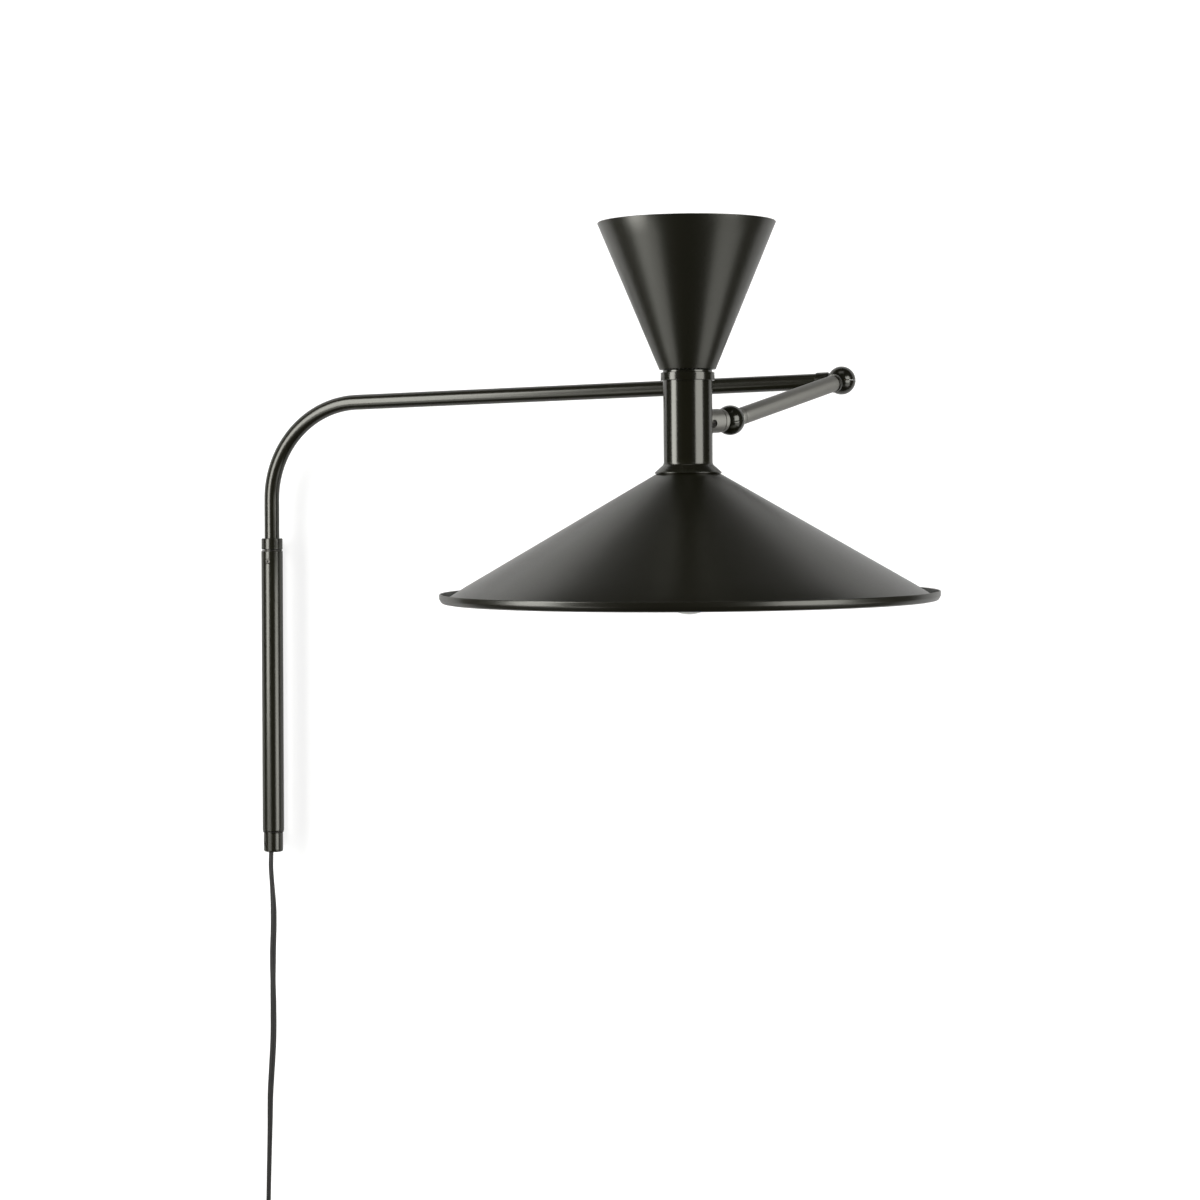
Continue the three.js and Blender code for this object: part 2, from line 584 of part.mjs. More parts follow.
place(headJoint.stud, "stub_screw", stubScrewAt(STUB_SCREW.radius, STUB_SCREW.inner, STUB_SCREW.outer), STEEL);

// the neck, open on the stub's side for the leads
const studToHead = headToStud.clone().invert();
const leadHole = alongX(rod(3.2, STUB.length - 20, STUB.length - 8, 12)).applyMatrix4(studToHead);
const neck = solidOf(pipe(NECK.radius, NECK.bore, NECK.bottom, NECK.top, 28)).subtract(solidOf(leadHole));
place(head, "neck_tube", neck, GLOSS_PAINT);
place(
  head,
  "neck_ring",
  pipe(NECK.radius + 1.1, NECK.radius + GAP, NECK.ringBottom, NECK.ringTop, 28),
  PAINT,
);
place(head, "terminal_block", block([-5, -4, -4], [5, 4, 4]), HOLDER_PLASTIC);

const flangeProfile = [
  [NECK.bore, FLANGE.bottom],
  [FLANGE.radius, FLANGE.bottom],
  [FLANGE.radius, FLANGE.bottom + FLANGE.edge],
  [17.6, -29],
  [16, -27.2],
  [NECK.radius, FLANGE.top],
  [NECK.bore, FLANGE.top],
];
place(head, "shade_flange", turned(flangeProfile, 28), PAINT);

const shadeBore = HOLDER.radius + 0.4;
const lipRise = SHADE.rim + 1.3;
const shadeProfile = [
  [shadeBore, SHADE.top],
  [SHADE.topRadius, SHADE.top],
  [SHADE.rimRadius, SHADE.rim],
  [SHADE.rimRadius + 1.5, SHADE.rim - 2.2],
  [SHADE.lipRadius - 0.9, lipRise],
  [SHADE.lipRadius, lipRise - 0.3],
  [SHADE.rimRadius + 2.4, SHADE.rim - 3.8],
  [SHADE.rimRadius + 1, SHADE.rim - 3.7],
  [SHADE.rimRadius - 1.1, SHADE.rim - 0.8],
  [SHADE.topRadius - 0.6, SHADE.top - SHADE.sheet],
  [shadeBore, SHADE.top - SHADE.sheet],
];
place(head, "lower_shade", turned(shadeProfile, 40), SHADE_PAINT);

const coneProfile = [
  [shadeBore, CONE.bottom],
  [CONE.bottomRadius, CONE.bottom],
  [CONE.topRadius, CONE.top],
  [CONE.topRadius - 1.05, CONE.top + 0.2],
  [CONE.bottomRadius - 0.7, CONE.bottom + CONE.sheet],
  [shadeBore, CONE.bottom + CONE.sheet],
];
place(head, "upper_cone", turned(coneProfile, 32), SHADE_PAINT);

// a lampholder with its bulb, pointing down; the upper one is the same turned over
function lampholder(name, mouth, flip) {
  const turnedOver = (geometry) => (flip ? geometry.rotateX(Math.PI) : geometry);
  const { radius, inner, socket, socketDepth } = HOLDER;
  const holderProfile = [
    [0, -inner],
    [radius, -inner],
    [radius, -mouth],
    [socket, -mouth],
    [socket, -mouth + socketDepth],
    [0, -mouth + socketDepth],
  ];
  place(head, name + "_lampholder", turnedOver(turned(holderProfile)), HOLDER_PLASTIC);

  const capBottom = -mouth - 0.6;
  const capProfile = [
    [0, capBottom + BULB.capLength + 2.4],
    [2.4, capBottom + BULB.capLength + 2.4],
    [5.2, capBottom + BULB.capLength],
    [BULB.capRadius, capBottom + BULB.capLength - 1],
    [BULB.capRadius, capBottom],
    [0, capBottom],
  ];
  place(head, name + "_bulb_cap", turnedOver(turned(capProfile, 14)), STEEL);

  const glassTop = capBottom - GAP;
  const centre = glassTop - 28.6;
  const joinAngle = 62;
  const glassProfile = [
    ...arc(0, centre, BULB.radius, -90, joinAngle, 8),
    [BULB.neckRadius, glassTop],
    [BULB.neckRadius - BULB.wall, glassTop],
    ...arc(0, centre, BULB.radius - BULB.wall, joinAngle, -90, 6),
  ];
  place(head, name + "_bulb_glass", turnedOver(turned(glassProfile, 18)), OPAL_GLASS);
}
lampholder("lower", HOLDER.mouth, false);
lampholder("upper", UPPER_HOLDER_MOUTH, true);

const nutBore = HOLDER.radius + GAP;
place(head, "shade_ring_nut", pipe(17.5, nutBore, -38.4, SHADE.top - SHADE.sheet - GAP, 20), HOLDER_PLASTIC);
place(head, "cone_ring_nut", pipe(16.3, nutBore, CONE.bottom + CONE.sheet + GAP, 38, 20), HOLDER_PLASTIC);

export default lamp;
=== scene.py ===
"""The looks of a swing-arm wall lamp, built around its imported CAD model.

The lamp's sizes are in millimetres in the constants and become metres when a mesh is made, and angles are in
degrees.  The joints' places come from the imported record.  The wall is the plane y = 0, and the lamp stands
out from it towards -Y.
"""

import json
import math

import bmesh
import bpy
from mathutils import Matrix, Vector


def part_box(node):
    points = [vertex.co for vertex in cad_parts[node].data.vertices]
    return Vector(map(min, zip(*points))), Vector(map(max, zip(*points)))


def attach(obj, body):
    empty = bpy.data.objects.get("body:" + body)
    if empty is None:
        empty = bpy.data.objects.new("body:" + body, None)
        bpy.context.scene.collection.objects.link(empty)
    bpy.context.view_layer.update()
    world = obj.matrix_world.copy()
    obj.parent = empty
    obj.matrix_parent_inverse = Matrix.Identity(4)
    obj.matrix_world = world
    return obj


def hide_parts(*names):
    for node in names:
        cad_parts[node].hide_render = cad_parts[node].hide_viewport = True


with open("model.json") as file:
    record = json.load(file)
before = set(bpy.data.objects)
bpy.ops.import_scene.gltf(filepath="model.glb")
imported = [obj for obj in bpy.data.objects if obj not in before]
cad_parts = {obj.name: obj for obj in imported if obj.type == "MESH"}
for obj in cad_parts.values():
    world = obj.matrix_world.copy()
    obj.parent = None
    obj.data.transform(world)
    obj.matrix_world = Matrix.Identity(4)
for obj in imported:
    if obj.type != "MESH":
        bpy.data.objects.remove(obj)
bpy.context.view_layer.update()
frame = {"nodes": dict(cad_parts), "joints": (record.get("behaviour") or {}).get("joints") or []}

MM = 0.001
UP = Vector((0, 0, 1))
RIGHT = Vector((1, 0, 0))
SHARP_ANGLE = 32

# ---------------------------------------------------------------- the lamp's driving dimensions
AXIS_Y = -20
PLATE = {"width": 9, "thickness": 3, "bottom": -113, "top": 110, "screw_hole": 2.2, "screw_height": 60}
STEM = {"radius": 3.4, "bolt": 1.8, "head": 3.3}
UPPER_COLLAR = {"radius": 7.6, "bottom": 104.6, "top": 112.5}
LOWER_COLLAR = {"radius": 6.95, "bottom": -115.5, "top": -101.5}
WALL_TUBE = {"radius": 7.75, "bore": 5.7, "bottom": -100.2, "top": 103.3}
WASHER = {"radius": 7.5, "thickness": 0.7, "gap": 0.3}
ARM = {"radius": 5.35, "bore": 4.35, "bend": 69.5, "corner": 208.2, "leg_bottom": 62, "ferrule": 17}
FORE_ARM = {"radius": 5.5, "bore": 4.5, "start": 12, "ferrule": 12}
STUB = {"radius": 7.5, "bore": 4.55, "length": 40, "start": 11.6}
STUB_SCREW = {"radius": 2.4, "along": 23.4, "inner": 5, "outer": 7.6, "angle": -102}
SET_SCREW = {"radius": 1.7, "azimuth": -107.4, "height": 96}
GRUB = {"radius": 1.6, "azimuth": -147, "height": -109.5}
HEAD_ROLL = -0.5
BALL = {"radius": 9.4, "cavity": 8, "cavity_height": 6.5, "seat": 9.8, "stem": 1.8, "cut": 12}
STEM_HOLE = 2.1
ELBOW = {"swivel": (-4, 143), "tilt": (-15, 15)}
HEAD_JOINT = {"swivel": (-40, 60), "tilt": (-20, 22)}
NECK = {"radius": 15.2, "bore": 13.9, "bottom": -25.05, "top": 32.2, "wire_hole": 3.2}
NECK_BAND = {"inner": 15.25, "outer": 16.7, "bottom": 25.7, "top": 30.7}
FLANGE = {"radius": 20.8, "bottom": -31.95, "top": -25}
SHADE = {"bore": 13.8, "outer_top": (20, -31.9), "inner_top": (19.4, -33.1)}
CONE = {"bore": 13.8, "outer_foot": (17.4, 32.5), "inner_foot": (16.7, 33.5)}
BULB = {"radius": 22.5, "wall": 1, "cap_radius": 6.9, "cap_height": 21, "pitch": 3.2}
HOLDER = {"radius": 13.4, "inner": 6, "socket": 7.3, "depth": 24}
LOWER_MOUTH = 67
UPPER_MOUTH = 62

CORD_WIDTH = 4.4
CORD_THICKNESS = 3.3
CORD_ROUTE = [
    (-1.6, -20, -113),
    (-1.8, -20, -120),
    (-1.9, -20, -128),
    (-1.2, -20, -139),
    (-0.3, -20, -155),
    (-0.2, -20, -170),
    (-0.8, -19.9, -190),
    (-0.9, -19.7, -210),
    (-0.7, -19.5, -232),
    (-0.9, -19.3, -253),
    (-2.0, -19.0, -273),
    (-3.3, -18.6, -294),
    (-3.8, -18.2, -318),
    (-4.4, -17.8, -340),
    (-5.0, -17.4, -362),
    (-5.4, -17.1, -380),
    (-5.6, -17.0, -398),
]
COIL = {"x": 25, "y": -23.6, "z": -414.6, "middle": 26.2, "pitch": 4.4, "turns": 10}
TAIL_ROUTE = [(3.2, -34.9, -422), (3.2, -34.9, -436), (3.1, -34.9, -453), (3.1, -34.9, -472.5)]
CORD_TWIST = [(0, 88), (22, 80), (48, 8), (78, 0), (98, 38), (128, -8), (160, 0), (215, 55), (262, 86)]
PLUG = {"top": -470.5, "boot": 22, "length": 30, "width": 25, "thickness": 13.4}
PIN = {"radius": 2, "sleeve": 9.6, "length": 19.3, "spacing": 18.6}

# ---------------------------------------------------------------- where things are
joints = {joint["name"]: joint for joint in frame["joints"]}
elbow_centre = Vector(joints["elbow_swivel"]["pos_m"])
head_ball_centre = Vector(joints["head_swivel"]["pos_m"])
arm_corner = Vector((0, AXIS_Y * MM, ARM["corner"] * MM))
arm_direction = (elbow_centre - arm_corner).normalized()
fore_arm_direction = (head_ball_centre - elbow_centre).normalized()
stub_direction = Vector(joints["head_roll"]["axis"]).normalized()
head_centre = head_ball_centre + stub_direction * STUB["length"] * MM


def frame_at(origin, x, y, z):
    """The matrix of a frame with these axes."""
    matrix = Matrix((x, y, z)).transposed().to_4x4()
    matrix.translation = origin
    return matrix


def along(origin, direction, side=UP):
    """A frame whose Z runs along direction and whose X is as close to side as it can be."""
    z = direction.normalized()
    x = (side - z * side.dot(z)).normalized()
    return frame_at(origin, x, z.cross(x), z)


def upright(x, y, z=0):
    return Matrix.Translation((x * MM, y * MM, z * MM))


TUBE_AXIS = upright(0, AXIS_Y)
HEAD = Matrix.Translation(head_centre) @ Matrix.Rotation(math.radians(HEAD_ROLL), 4, "Y")
FLIPPED = HEAD @ Matrix.Rotation(math.pi, 4, "X")

# ---------------------------------------------------------------- camera, placed in metres
CAMERA = {"lens": 80.4, "sensor": 36, "place": (0.2379, -1.964, 0.1475), "pitch": 87.65}
camera_data = bpy.data.cameras.new("camera")
camera_data.lens = CAMERA["lens"]
camera_data.sensor_width = CAMERA["sensor"]
camera = bpy.data.objects.new("camera", camera_data)
camera.location = CAMERA["place"]
camera.rotation_euler = (math.radians(CAMERA["pitch"]), 0, 0)
bpy.context.scene.collection.objects.link(camera)
bpy.context.scene.camera = camera


# ---------------------------------------------------------------- materials
class Nodes:
    """A material's node tree with short ways to add the textures that every finish here uses."""

    def __init__(self, name):
        self.material = bpy.data.materials.new(name)
        self.material.use_nodes = True
        self.tree = self.material.node_tree
        self.shader = self.tree.nodes["Principled BSDF"]
        self.coordinates = self.tree.nodes.new("ShaderNodeTexCoord").outputs["Object"]

    def noise(self, scale, detail, stretch=(1, 1, 1)):
        """Noise in the piece's own coordinates, of that scale per metre."""
        mapping = self.tree.nodes.new("ShaderNodeMapping")
        mapping.inputs["Scale"].default_value = stretch
        self.tree.links.new(self.coordinates, mapping.inputs["Vector"])
        texture = self.tree.nodes.new("ShaderNodeTexNoise")
        texture.inputs["Scale"].default_value = scale
        texture.inputs["Detail"].default_value = detail
        self.tree.links.new(mapping.outputs["Vector"], texture.inputs["Vector"])
        return texture.outputs["Fac"]

    def between(self, factor, low, high, from_low=0.3, from_high=0.7):
        """Maps a factor's usual range to low..high."""
        span = self.tree.nodes.new("ShaderNodeMapRange")
        for socket, value in zip(span.inputs[1:5], (from_low, from_high, low, high)):
            socket.default_value = value
        self.tree.links.new(factor, span.inputs["Value"])
        return span.outputs["Result"]

    def mix(self, factor, first, second):
        """A colour between two colours or colour sockets."""
        node = self.tree.nodes.new("ShaderNodeMix")
        node.data_type = "RGBA"
        self.tree.links.new(factor, node.inputs["Factor"])
        for socket, value in ((node.inputs[6], first), (node.inputs[7], second)):
            if isinstance(value, tuple):
                socket.default_value = (*value, 1)
            else:
                self.tree.links.new(value, socket)
        return node.outputs[2]

    def painted_edge_highlight(self):
        """A mask for a painted highlight: 0 on flats and 1 along outside edges."""
        geometry = self.tree.nodes.new("ShaderNodeNewGeometry")
        return self.between(geometry.outputs["Pointiness"], 0, 1, 0.52, 0.6)

    def multiply(self, first, second):
        node = self.tree.nodes.new("ShaderNodeMath")
        node.operation = "MULTIPLY"
        self.tree.links.new(first, node.inputs[0])
        self.tree.links.new(second, node.inputs[1])
        return node.outputs[0]

    def colour(self, socket):
        self.tree.links.new(socket, self.shader.inputs["Base Color"])

    def rough(self, socket):
        self.tree.links.new(socket, self.shader.inputs["Roughness"])

    def bump(self, height, distance):
        """Relief of that many metres, on top of any relief that is already there."""
        node = self.tree.nodes.new("ShaderNodeBump")
        node.inputs["Strength"].default_value = 1.0
        node.inputs["Distance"].default_value = distance
        self.tree.links.new(height, node.inputs["Height"])
        normal = self.shader.inputs["Normal"]
        if normal.is_linked:
            self.tree.links.new(normal.links[0].from_socket, node.inputs["Normal"])
        self.tree.links.new(node.outputs["Normal"], normal)

    def set(self, **values):
        """Uniform values, straight on the shader's own sockets."""
        for name, value in values.items():
            self.shader.inputs[name.replace("_", " ")].default_value = value


def paint(name, dark, light, rough, grain, ior=1.6, spun=0.0):
    """A sprayed finish: faint clouding, a very fine grain and outside edges made a little paler by a painted
    highlight.  Spun sheet also keeps the faint rings of the spinning tool."""
    made = Nodes(name)
    clouds = made.between(made.noise(14, 4), 0, 1)
    base = made.mix(clouds, dark, light)
    # painted highlight: the outside edges are a little paler than the paint
    edge = made.multiply(made.painted_edge_highlight(), made.between(made.noise(90, 3), 0.1, 0.5))
    made.colour(made.mix(edge, base, tuple(2.6 * c for c in light)))
    made.rough(made.between(made.noise(700, 3), rough - 0.015, rough + 0.015))
    made.bump(made.noise(1700, 2), grain)
    if spun:
        made.bump(made.noise(620, 2, (0.012, 0.012, 1)), spun)
    made.set(IOR=ior, Specular_Tint=(1.0, 1.0, 0.93, 1.0))
    return made.material


def metal(name, dark, light, rough, marks=(1, 1, 30)):
    """Bare metal with fine machining marks across its axis."""
    made = Nodes(name)
    made.colour(made.mix(made.between(made.noise(60, 4), 0, 1), dark, light))
    turned = made.noise(220, 3, marks)
    made.rough(made.between(turned, rough - 0.07, rough + 0.09))
    made.bump(turned, 4e-6)
    made.set(Metallic=1.0)
    return made.material


def plastic(name, dark, light, rough, relief):
    """Moulded plastic with a fine spark-eroded grain."""
    made = Nodes(name)
    made.colour(made.mix(made.between(made.noise(35, 4), 0, 1), dark, light))
    grain = made.noise(1900, 2)
    made.rough(made.between(grain, rough - 0.06, rough + 0.06))
    made.bump(grain, relief)
    made.set(IOR=1.5)
    return made.material


def opal_glass():
    """White glass, with a little light inside it and a faint unevenness in its shine."""
    made = Nodes("opal_glass")
    dark, light = (0.72, 0.712, 0.69), (0.8, 0.792, 0.775)
    made.colour(made.mix(made.between(made.noise(40, 3), 0, 1), dark, light))
    made.rough(made.between(made.noise(320, 3), 0.3, 0.42))
    made.bump(made.noise(500, 2), 3e-6)
    made.set(IOR=1.5, Subsurface_Weight=0.2, Subsurface_Scale=0.003)
    return made.material


SATIN = paint("satin_black_paint", (0.0056, 0.0054, 0.0024), (0.0076, 0.0073, 0.0034), 0.24, 1.2e-6)
# The same black paint with a lighter base: painted light for the fore arm and stub, which catch light from
# the right.
SATIN_WITH_PAINTED_LIGHT = paint(
    "satin_black_paint_with_painted_light", (0.0340, 0.0325, 0.0280), (0.0420, 0.0400, 0.0345), 0.4, 1.5e-6, ior=1.8
)
GLOSS = paint("gloss_black_paint", (0.0054, 0.0052, 0.0022), (0.0068, 0.0065, 0.0030), 0.18, 8e-7)
SHADE_PAINT = paint(
    "painted_aluminium", (0.0060, 0.0057, 0.0026), (0.0078, 0.0074, 0.0036), 0.29, 8e-7, spun=4e-6
)
STEEL = metal("steel", (0.42, 0.41, 0.39), (0.58, 0.57, 0.55), 0.3)
DARK_STEEL = metal("dark_steel", (0.05, 0.048, 0.044), (0.09, 0.086, 0.08), 0.36)
# Brass painted very dark: painted shade for the barrels seen through the balls' slots.
BRASS_DARKENED_FOR_SHADE = metal("brass", (0.1, 0.065, 0.028), (0.16, 0.11, 0.05), 0.42)
CAP_METAL = metal("bulb_cap_metal", (0.46, 0.46, 0.45), (0.62, 0.62, 0.6), 0.26, (1, 1, 8))
PLASTIC = plastic("black_plastic", (0.011, 0.011, 0.0105), (0.018, 0.0178, 0.017), 0.48, 9e-6)
HOLDER_PLASTIC = plastic("holder_plastic", (0.014, 0.0138, 0.013), (0.022, 0.0215, 0.02), 0.4, 5e-6)
GLASS = opal_glass()


def cord_sheath():
    """Matt extruded sheath, like rubber: faint streaks along it, fine grain and a slight clouding."""
    made = Nodes("cord_sheath")
    dark, light = (0.0085, 0.0082, 0.0076), (0.0145, 0.014, 0.0128)
    made.colour(made.mix(made.between(made.noise(50, 4), 0, 1), dark, light))
    streaks = made.noise(420, 3, (1, 1, 0.12))
    made.rough(made.between(streaks, 0.5, 0.64))
    made.bump(made.noise(2200, 2), 7e-6)
    made.bump(streaks, 1.6e-5)
    made.set(IOR=1.5)
    return made.material


SHEATH = cord_sheath()


# ---------------------------------------------------------------- mesh helpers
def rounded(points, steps=5):
    """A closed outline whose corners are (r, z) or (r, z, fillet radius), with the fillets drawn."""
    outline = []
    for i, point in enumerate(points):
        corner = Vector(point[:2])
        fillet = point[2] if len(point) > 2 else 0
        if not fillet:
            outline.append(tuple(corner))
            continue
        before = Vector(points[i - 1][:2]) - corner
        after = Vector(points[(i + 1) % len(points)][:2]) - corner
        half = before.angle(after) / 2
        reach = min(fillet / math.tan(half), 0.49 * before.length, 0.49 * after.length)
        radius = reach * math.tan(half)
        centre = corner + (before.normalized() + after.normalized()).normalized() * radius / math.sin(half)
        start = corner + before.normalized() * reach - centre
        end = corner + after.normalized() * reach - centre
        sweep = start.angle_signed(end)
        for k in range(steps + 1):
            turned = start.copy()
            turned.rotate(Matrix.Rotation(-sweep * k / steps, 2))
            outline.append(tuple(centre + turned))
    return outline


def arc(r, z, radius, start, end, steps):
    """Points on an arc in an outline, angles in degrees."""
    angles = [math.radians(start + (end - start) * k / steps) for k in range(steps + 1)]
    return [(r + radius * math.cos(a), z + radius * math.sin(a)) for a in angles]


def stations(low, high, step):
    """Evenly spaced values from low to high, no further than step apart."""
    count = max(1, math.ceil(abs(high - low) / step))
    return [low + (high - low) * k / count for k in range(count + 1)]


def along_side(start, end, count):
    """The points inside a straight side of an outline that divide it into count equal parts."""
    (r0, z0), (r1, z1) = start, end
    return [(r0 + (r1 - r0) * k / count, z0 + (z1 - z0) * k / count) for k in range(1, count)]


def new_object(name, mesh, matrix=None):
    obj = bpy.data.objects.new(name, mesh)
    bpy.context.scene.collection.objects.link(obj)
    if matrix is not None:
        obj.matrix_world = matrix
    return obj


def smooth(obj):
    """Smooth shading, except along edges where the faces turn by more than SHARP_ANGLE."""
    obj.data.shade_smooth()
    obj.data.set_sharp_from_angle(angle=math.radians(SHARP_ANGLE))
    return obj


def from_rings(name, rings, matrix=None, caps=False, wrap=False):
    """A skin over closed rings of points in metres.  A ring of one point is a pole.  caps closes both ends,
    and wrap joins the last ring to the first."""
    bm = bmesh.new()
    made = [[bm.verts.new(point) for point in ring] for ring in rings]
    pairs = list(zip(made, made[1:])) + ([(made[-1], made[0])] if wrap else [])
    for first, second in pairs:
        count = max(len(first), len(second))
        if count == 1:
            continue
        for k in range(count):
            corners = [first[k % len(first)], first[(k + 1) % len(first)]]
            corners += [second[(k + 1) % len(second)], second[k % len(second)]]
            bm.faces.new(list(dict.fromkeys(corners)))
    if caps:
        for ring in (made[0], made[-1]):
            if len(ring) > 2:
                bm.faces.new(ring)
    bmesh.ops.recalc_face_normals(bm, faces=bm.faces)
    mesh = bpy.data.meshes.new(name)
    bm.to_mesh(mesh)
    bm.free()
    return smooth(new_object(name, mesh, matrix))


def lathe(name, outline, matrix=None, segments=96, shape=None):
    """A closed (radius, height) outline turned about Z.  shape(r, z, angle) may change the radius."""
    rings = []
    for r, z in outline:
        if r < 1e-6:
            rings.append([(0, 0, z * MM)])
            continue
        ring = []
        for k in range(segments):
            angle = 2 * math.pi * k / segments
            radius = shape(r, z, angle) if shape else r
            ring.append((radius * math.cos(angle) * MM, radius * math.sin(angle) * MM, z * MM))
        rings.append(ring)
    return from_rings(name, rings, matrix, wrap=True)


def rod(name, radius, low, high, matrix=None, segments=48):
    return lathe(name, [(0, low), (radius, low), (radius, high), (0, high)], matrix, segments)


def carve(obj, *tools, operation="DIFFERENCE"):
    """Cuts the tools from obj, or joins them to it, and removes them."""
    for tool in tools:
        cut = obj.modifiers.new("cut", "BOOLEAN")
        cut.operation = operation
        cut.solver = "EXACT"
        cut.object = tool
    bpy.context.view_layer.update()
    graph = bpy.context.evaluated_depsgraph_get()
    made = bpy.data.meshes.new_from_object(obj.evaluated_get(graph))
    obj.modifiers.clear()
    obj.data = made
    for tool in tools:
        bpy.data.objects.remove(tool)
    return smooth(obj)


def prism(name, outline, low, high, matrix):
    """A plain closed prism of an (x, y) outline between two heights, for cutting."""
    rings = [[(x * MM, y * MM, z * MM) for x, y in outline] for z in (low, high)]
    return from_rings(name, rings, matrix, caps=True)


def wedge(name, start, end, half, matrix):
    """A slice of a disc about Z between two angles in degrees, for cutting slots in a ball."""
    angles = [math.radians(a) for a in stations(start, end, 15)]
    rim = [(BALL["cut"] * math.cos(a), BALL["cut"] * math.sin(a)) for a in angles]
    return prism(name, [(0, 0), *rim], -half, half, matrix)


def transported(points):
    """For each point of a path, its tangent and two directions across it that don't twist."""
    frames = []
    normal = None
    for i, point in enumerate(points):
        tangent = (points[min(i + 1, len(points) - 1)] - points[max(i - 1, 0)]).normalized()
        if normal is None:
            side = RIGHT if abs(tangent.x) < 0.9 else UP
            normal = (side - tangent * side.dot(tangent)).normalized()
        normal = (normal - tangent * normal.dot(tangent)).normalized()
        frames.append((point, tangent, normal, tangent.cross(normal)))
    return frames


def tube(name, points, radius, bore, sides):
    """An open tube along points in metres."""
    frames = transported(points)

    def ring(station, size):
        point, _, normal, across = station
        angles = [2 * math.pi * k / sides for k in range(sides)]
        return [point + (normal * math.cos(a) + across * math.sin(a)) * size * MM for a in angles]

    rings = [ring(f, radius) for f in frames] + [ring(f, bore) for f in reversed(frames)]
    return from_rings(name, rings, wrap=True)


def catmull(points, steps):
    """A smooth path through points, with that many steps between each two."""
    padded = [2 * points[0] - points[1], *points, 2 * points[-1] - points[-2]]
    path = []
    for a, b, c, d in zip(padded, padded[1:], padded[2:], padded[3:]):
        for k in range(steps):
            t = k / steps
            point = 2 * b + (c - a) * t
            point += (2 * a - 5 * b + 4 * c - d) * t**2
            point += (3 * b - a - 3 * c + d) * t**3
            path.append(0.5 * point)
    path.append(points[-1].copy())
    return path


def finish(obj, body, nodes, material):
    """Gives a piece its material and its body, and hides the CAD nodes that it stands for."""
    obj.data.materials.clear()
    obj.data.materials.append(material)
    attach(obj, body)
    if nodes:
        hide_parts(*nodes.split())
    return obj


# ---------------------------------------------------------------- the mains cord
def coil_points():
    """Points in millimetres on turns in three layers, from the outer layer in."""
    pitch, turns = COIL["pitch"], COIL["turns"]
    edge = 1.5 * pitch
    outer, middle, inner = (COIL["middle"] + pitch * k for k in (1, 0, -1))
    marks = [(0, outer, edge), (3, outer, -edge), (3.5, middle, -edge), (6.5, middle, edge)]
    marks += [(7, inner, edge), (9.72, inner, -edge * 0.83), (turns, inner, -11.3)]
    per_turn = 16
    points = []
    for k in range(turns * per_turn + 1):
        turn = k / per_turn
        for (start, r0, y0), (end, r1, y1) in zip(marks, marks[1:]):
            if turn <= end:
                share = (turn - start) / (end - start)
                break
        ease = share * share * (3 - 2 * share)
        radius = r0 + (r1 - r0) * ease
        y = y0 + (y1 - y0) * (ease if r0 != r1 or end == turns else share)
        angle = math.pi + 2 * math.pi * turn
        x, z = radius * math.cos(angle), radius * math.sin(angle)
        points.append(Vector((COIL["x"] + x, COIL["y"] + y, COIL["z"] + z)))
    return points


def twist_at(distance):
    """The turn of the flat cord's wide side, in degrees, at that distance from the lamp in millimetres."""
    for (d0, a0), (d1, a1) in zip(CORD_TWIST, CORD_TWIST[1:]):
        if distance <= d1:
            return a0 + (a1 - a0) * max(0, distance - d0) / (d1 - d0)
    return CORD_TWIST[-1][1]


def flat_cord(path, sides=20):
    """An oval cord along a path in metres, turned about its own axis as twist_at says."""
    rings = []
    travelled = 0
    for i, (point, tangent, normal, across) in enumerate(transported(path)):
        if i:
            travelled += (point - path[i - 1]).length / MM
        turn = math.radians(twist_at(travelled))
        wide = normal * math.cos(turn) + across * math.sin(turn)
        thin = tangent.cross(wide)
        rings.append([
            point
            + wide * (math.cos(2 * math.pi * k / sides) * CORD_WIDTH / 2 * MM)
            + thin * (math.sin(2 * math.pi * k / sides) * CORD_THICKNESS / 2 * MM)
            for k in range(sides)
        ])
    return from_rings("mains_flex", rings, caps=True)


cord_points = [Vector(p) for p in CORD_ROUTE] + coil_points() + [Vector(p) for p in TAIL_ROUTE]
cord_path = [p * MM for p in catmull(cord_points, 5)]
cord = flat_cord(cord_path)
finish(cord, "wall_bracket", "mains_cord cord_coil cord_tail", SHEATH)


def squircle_point(angle, half_x, half_y, power):
    """A point on a superellipse: power 2 is an ellipse, and higher powers are squarer."""
    c, s = math.cos(angle), math.sin(angle)
    x = math.copysign(abs(c) ** (2 / power), c) * half_x
    y = math.copysign(abs(s) ** (2 / power), s) * half_y
    return x, y


def strap_loop(count=96):
    """A strap round the coil's side and the tail, with rounded edges, in the space of its CAD node."""
    low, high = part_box("cord_tie")
    centre = (low + high) / 2
    half = (high - low) / 2
    thickness = 1 * MM
    section = [(thickness, -1), (thickness * 0.8, -1.06), (0.2 * thickness, -1.06), (0, -1), (0, 1)]
    section += [(0.2 * thickness, 1.06), (thickness * 0.8, 1.06), (thickness, 1)]
    loops = []
    for k in range(count):
        loop = []
        for inset, share in section:
            x, y = squircle_point(2 * math.pi * k / count, half.x - inset, half.y - inset, 5)
            loop.append((centre.x + x, centre.y + y, centre.z + share * half.z * 0.94))
        loops.append(loop)
    return from_rings("cord_strap", loops, wrap=True)


strap = finish(strap_loop(), "wall_bracket", "cord_tie", PLASTIC)


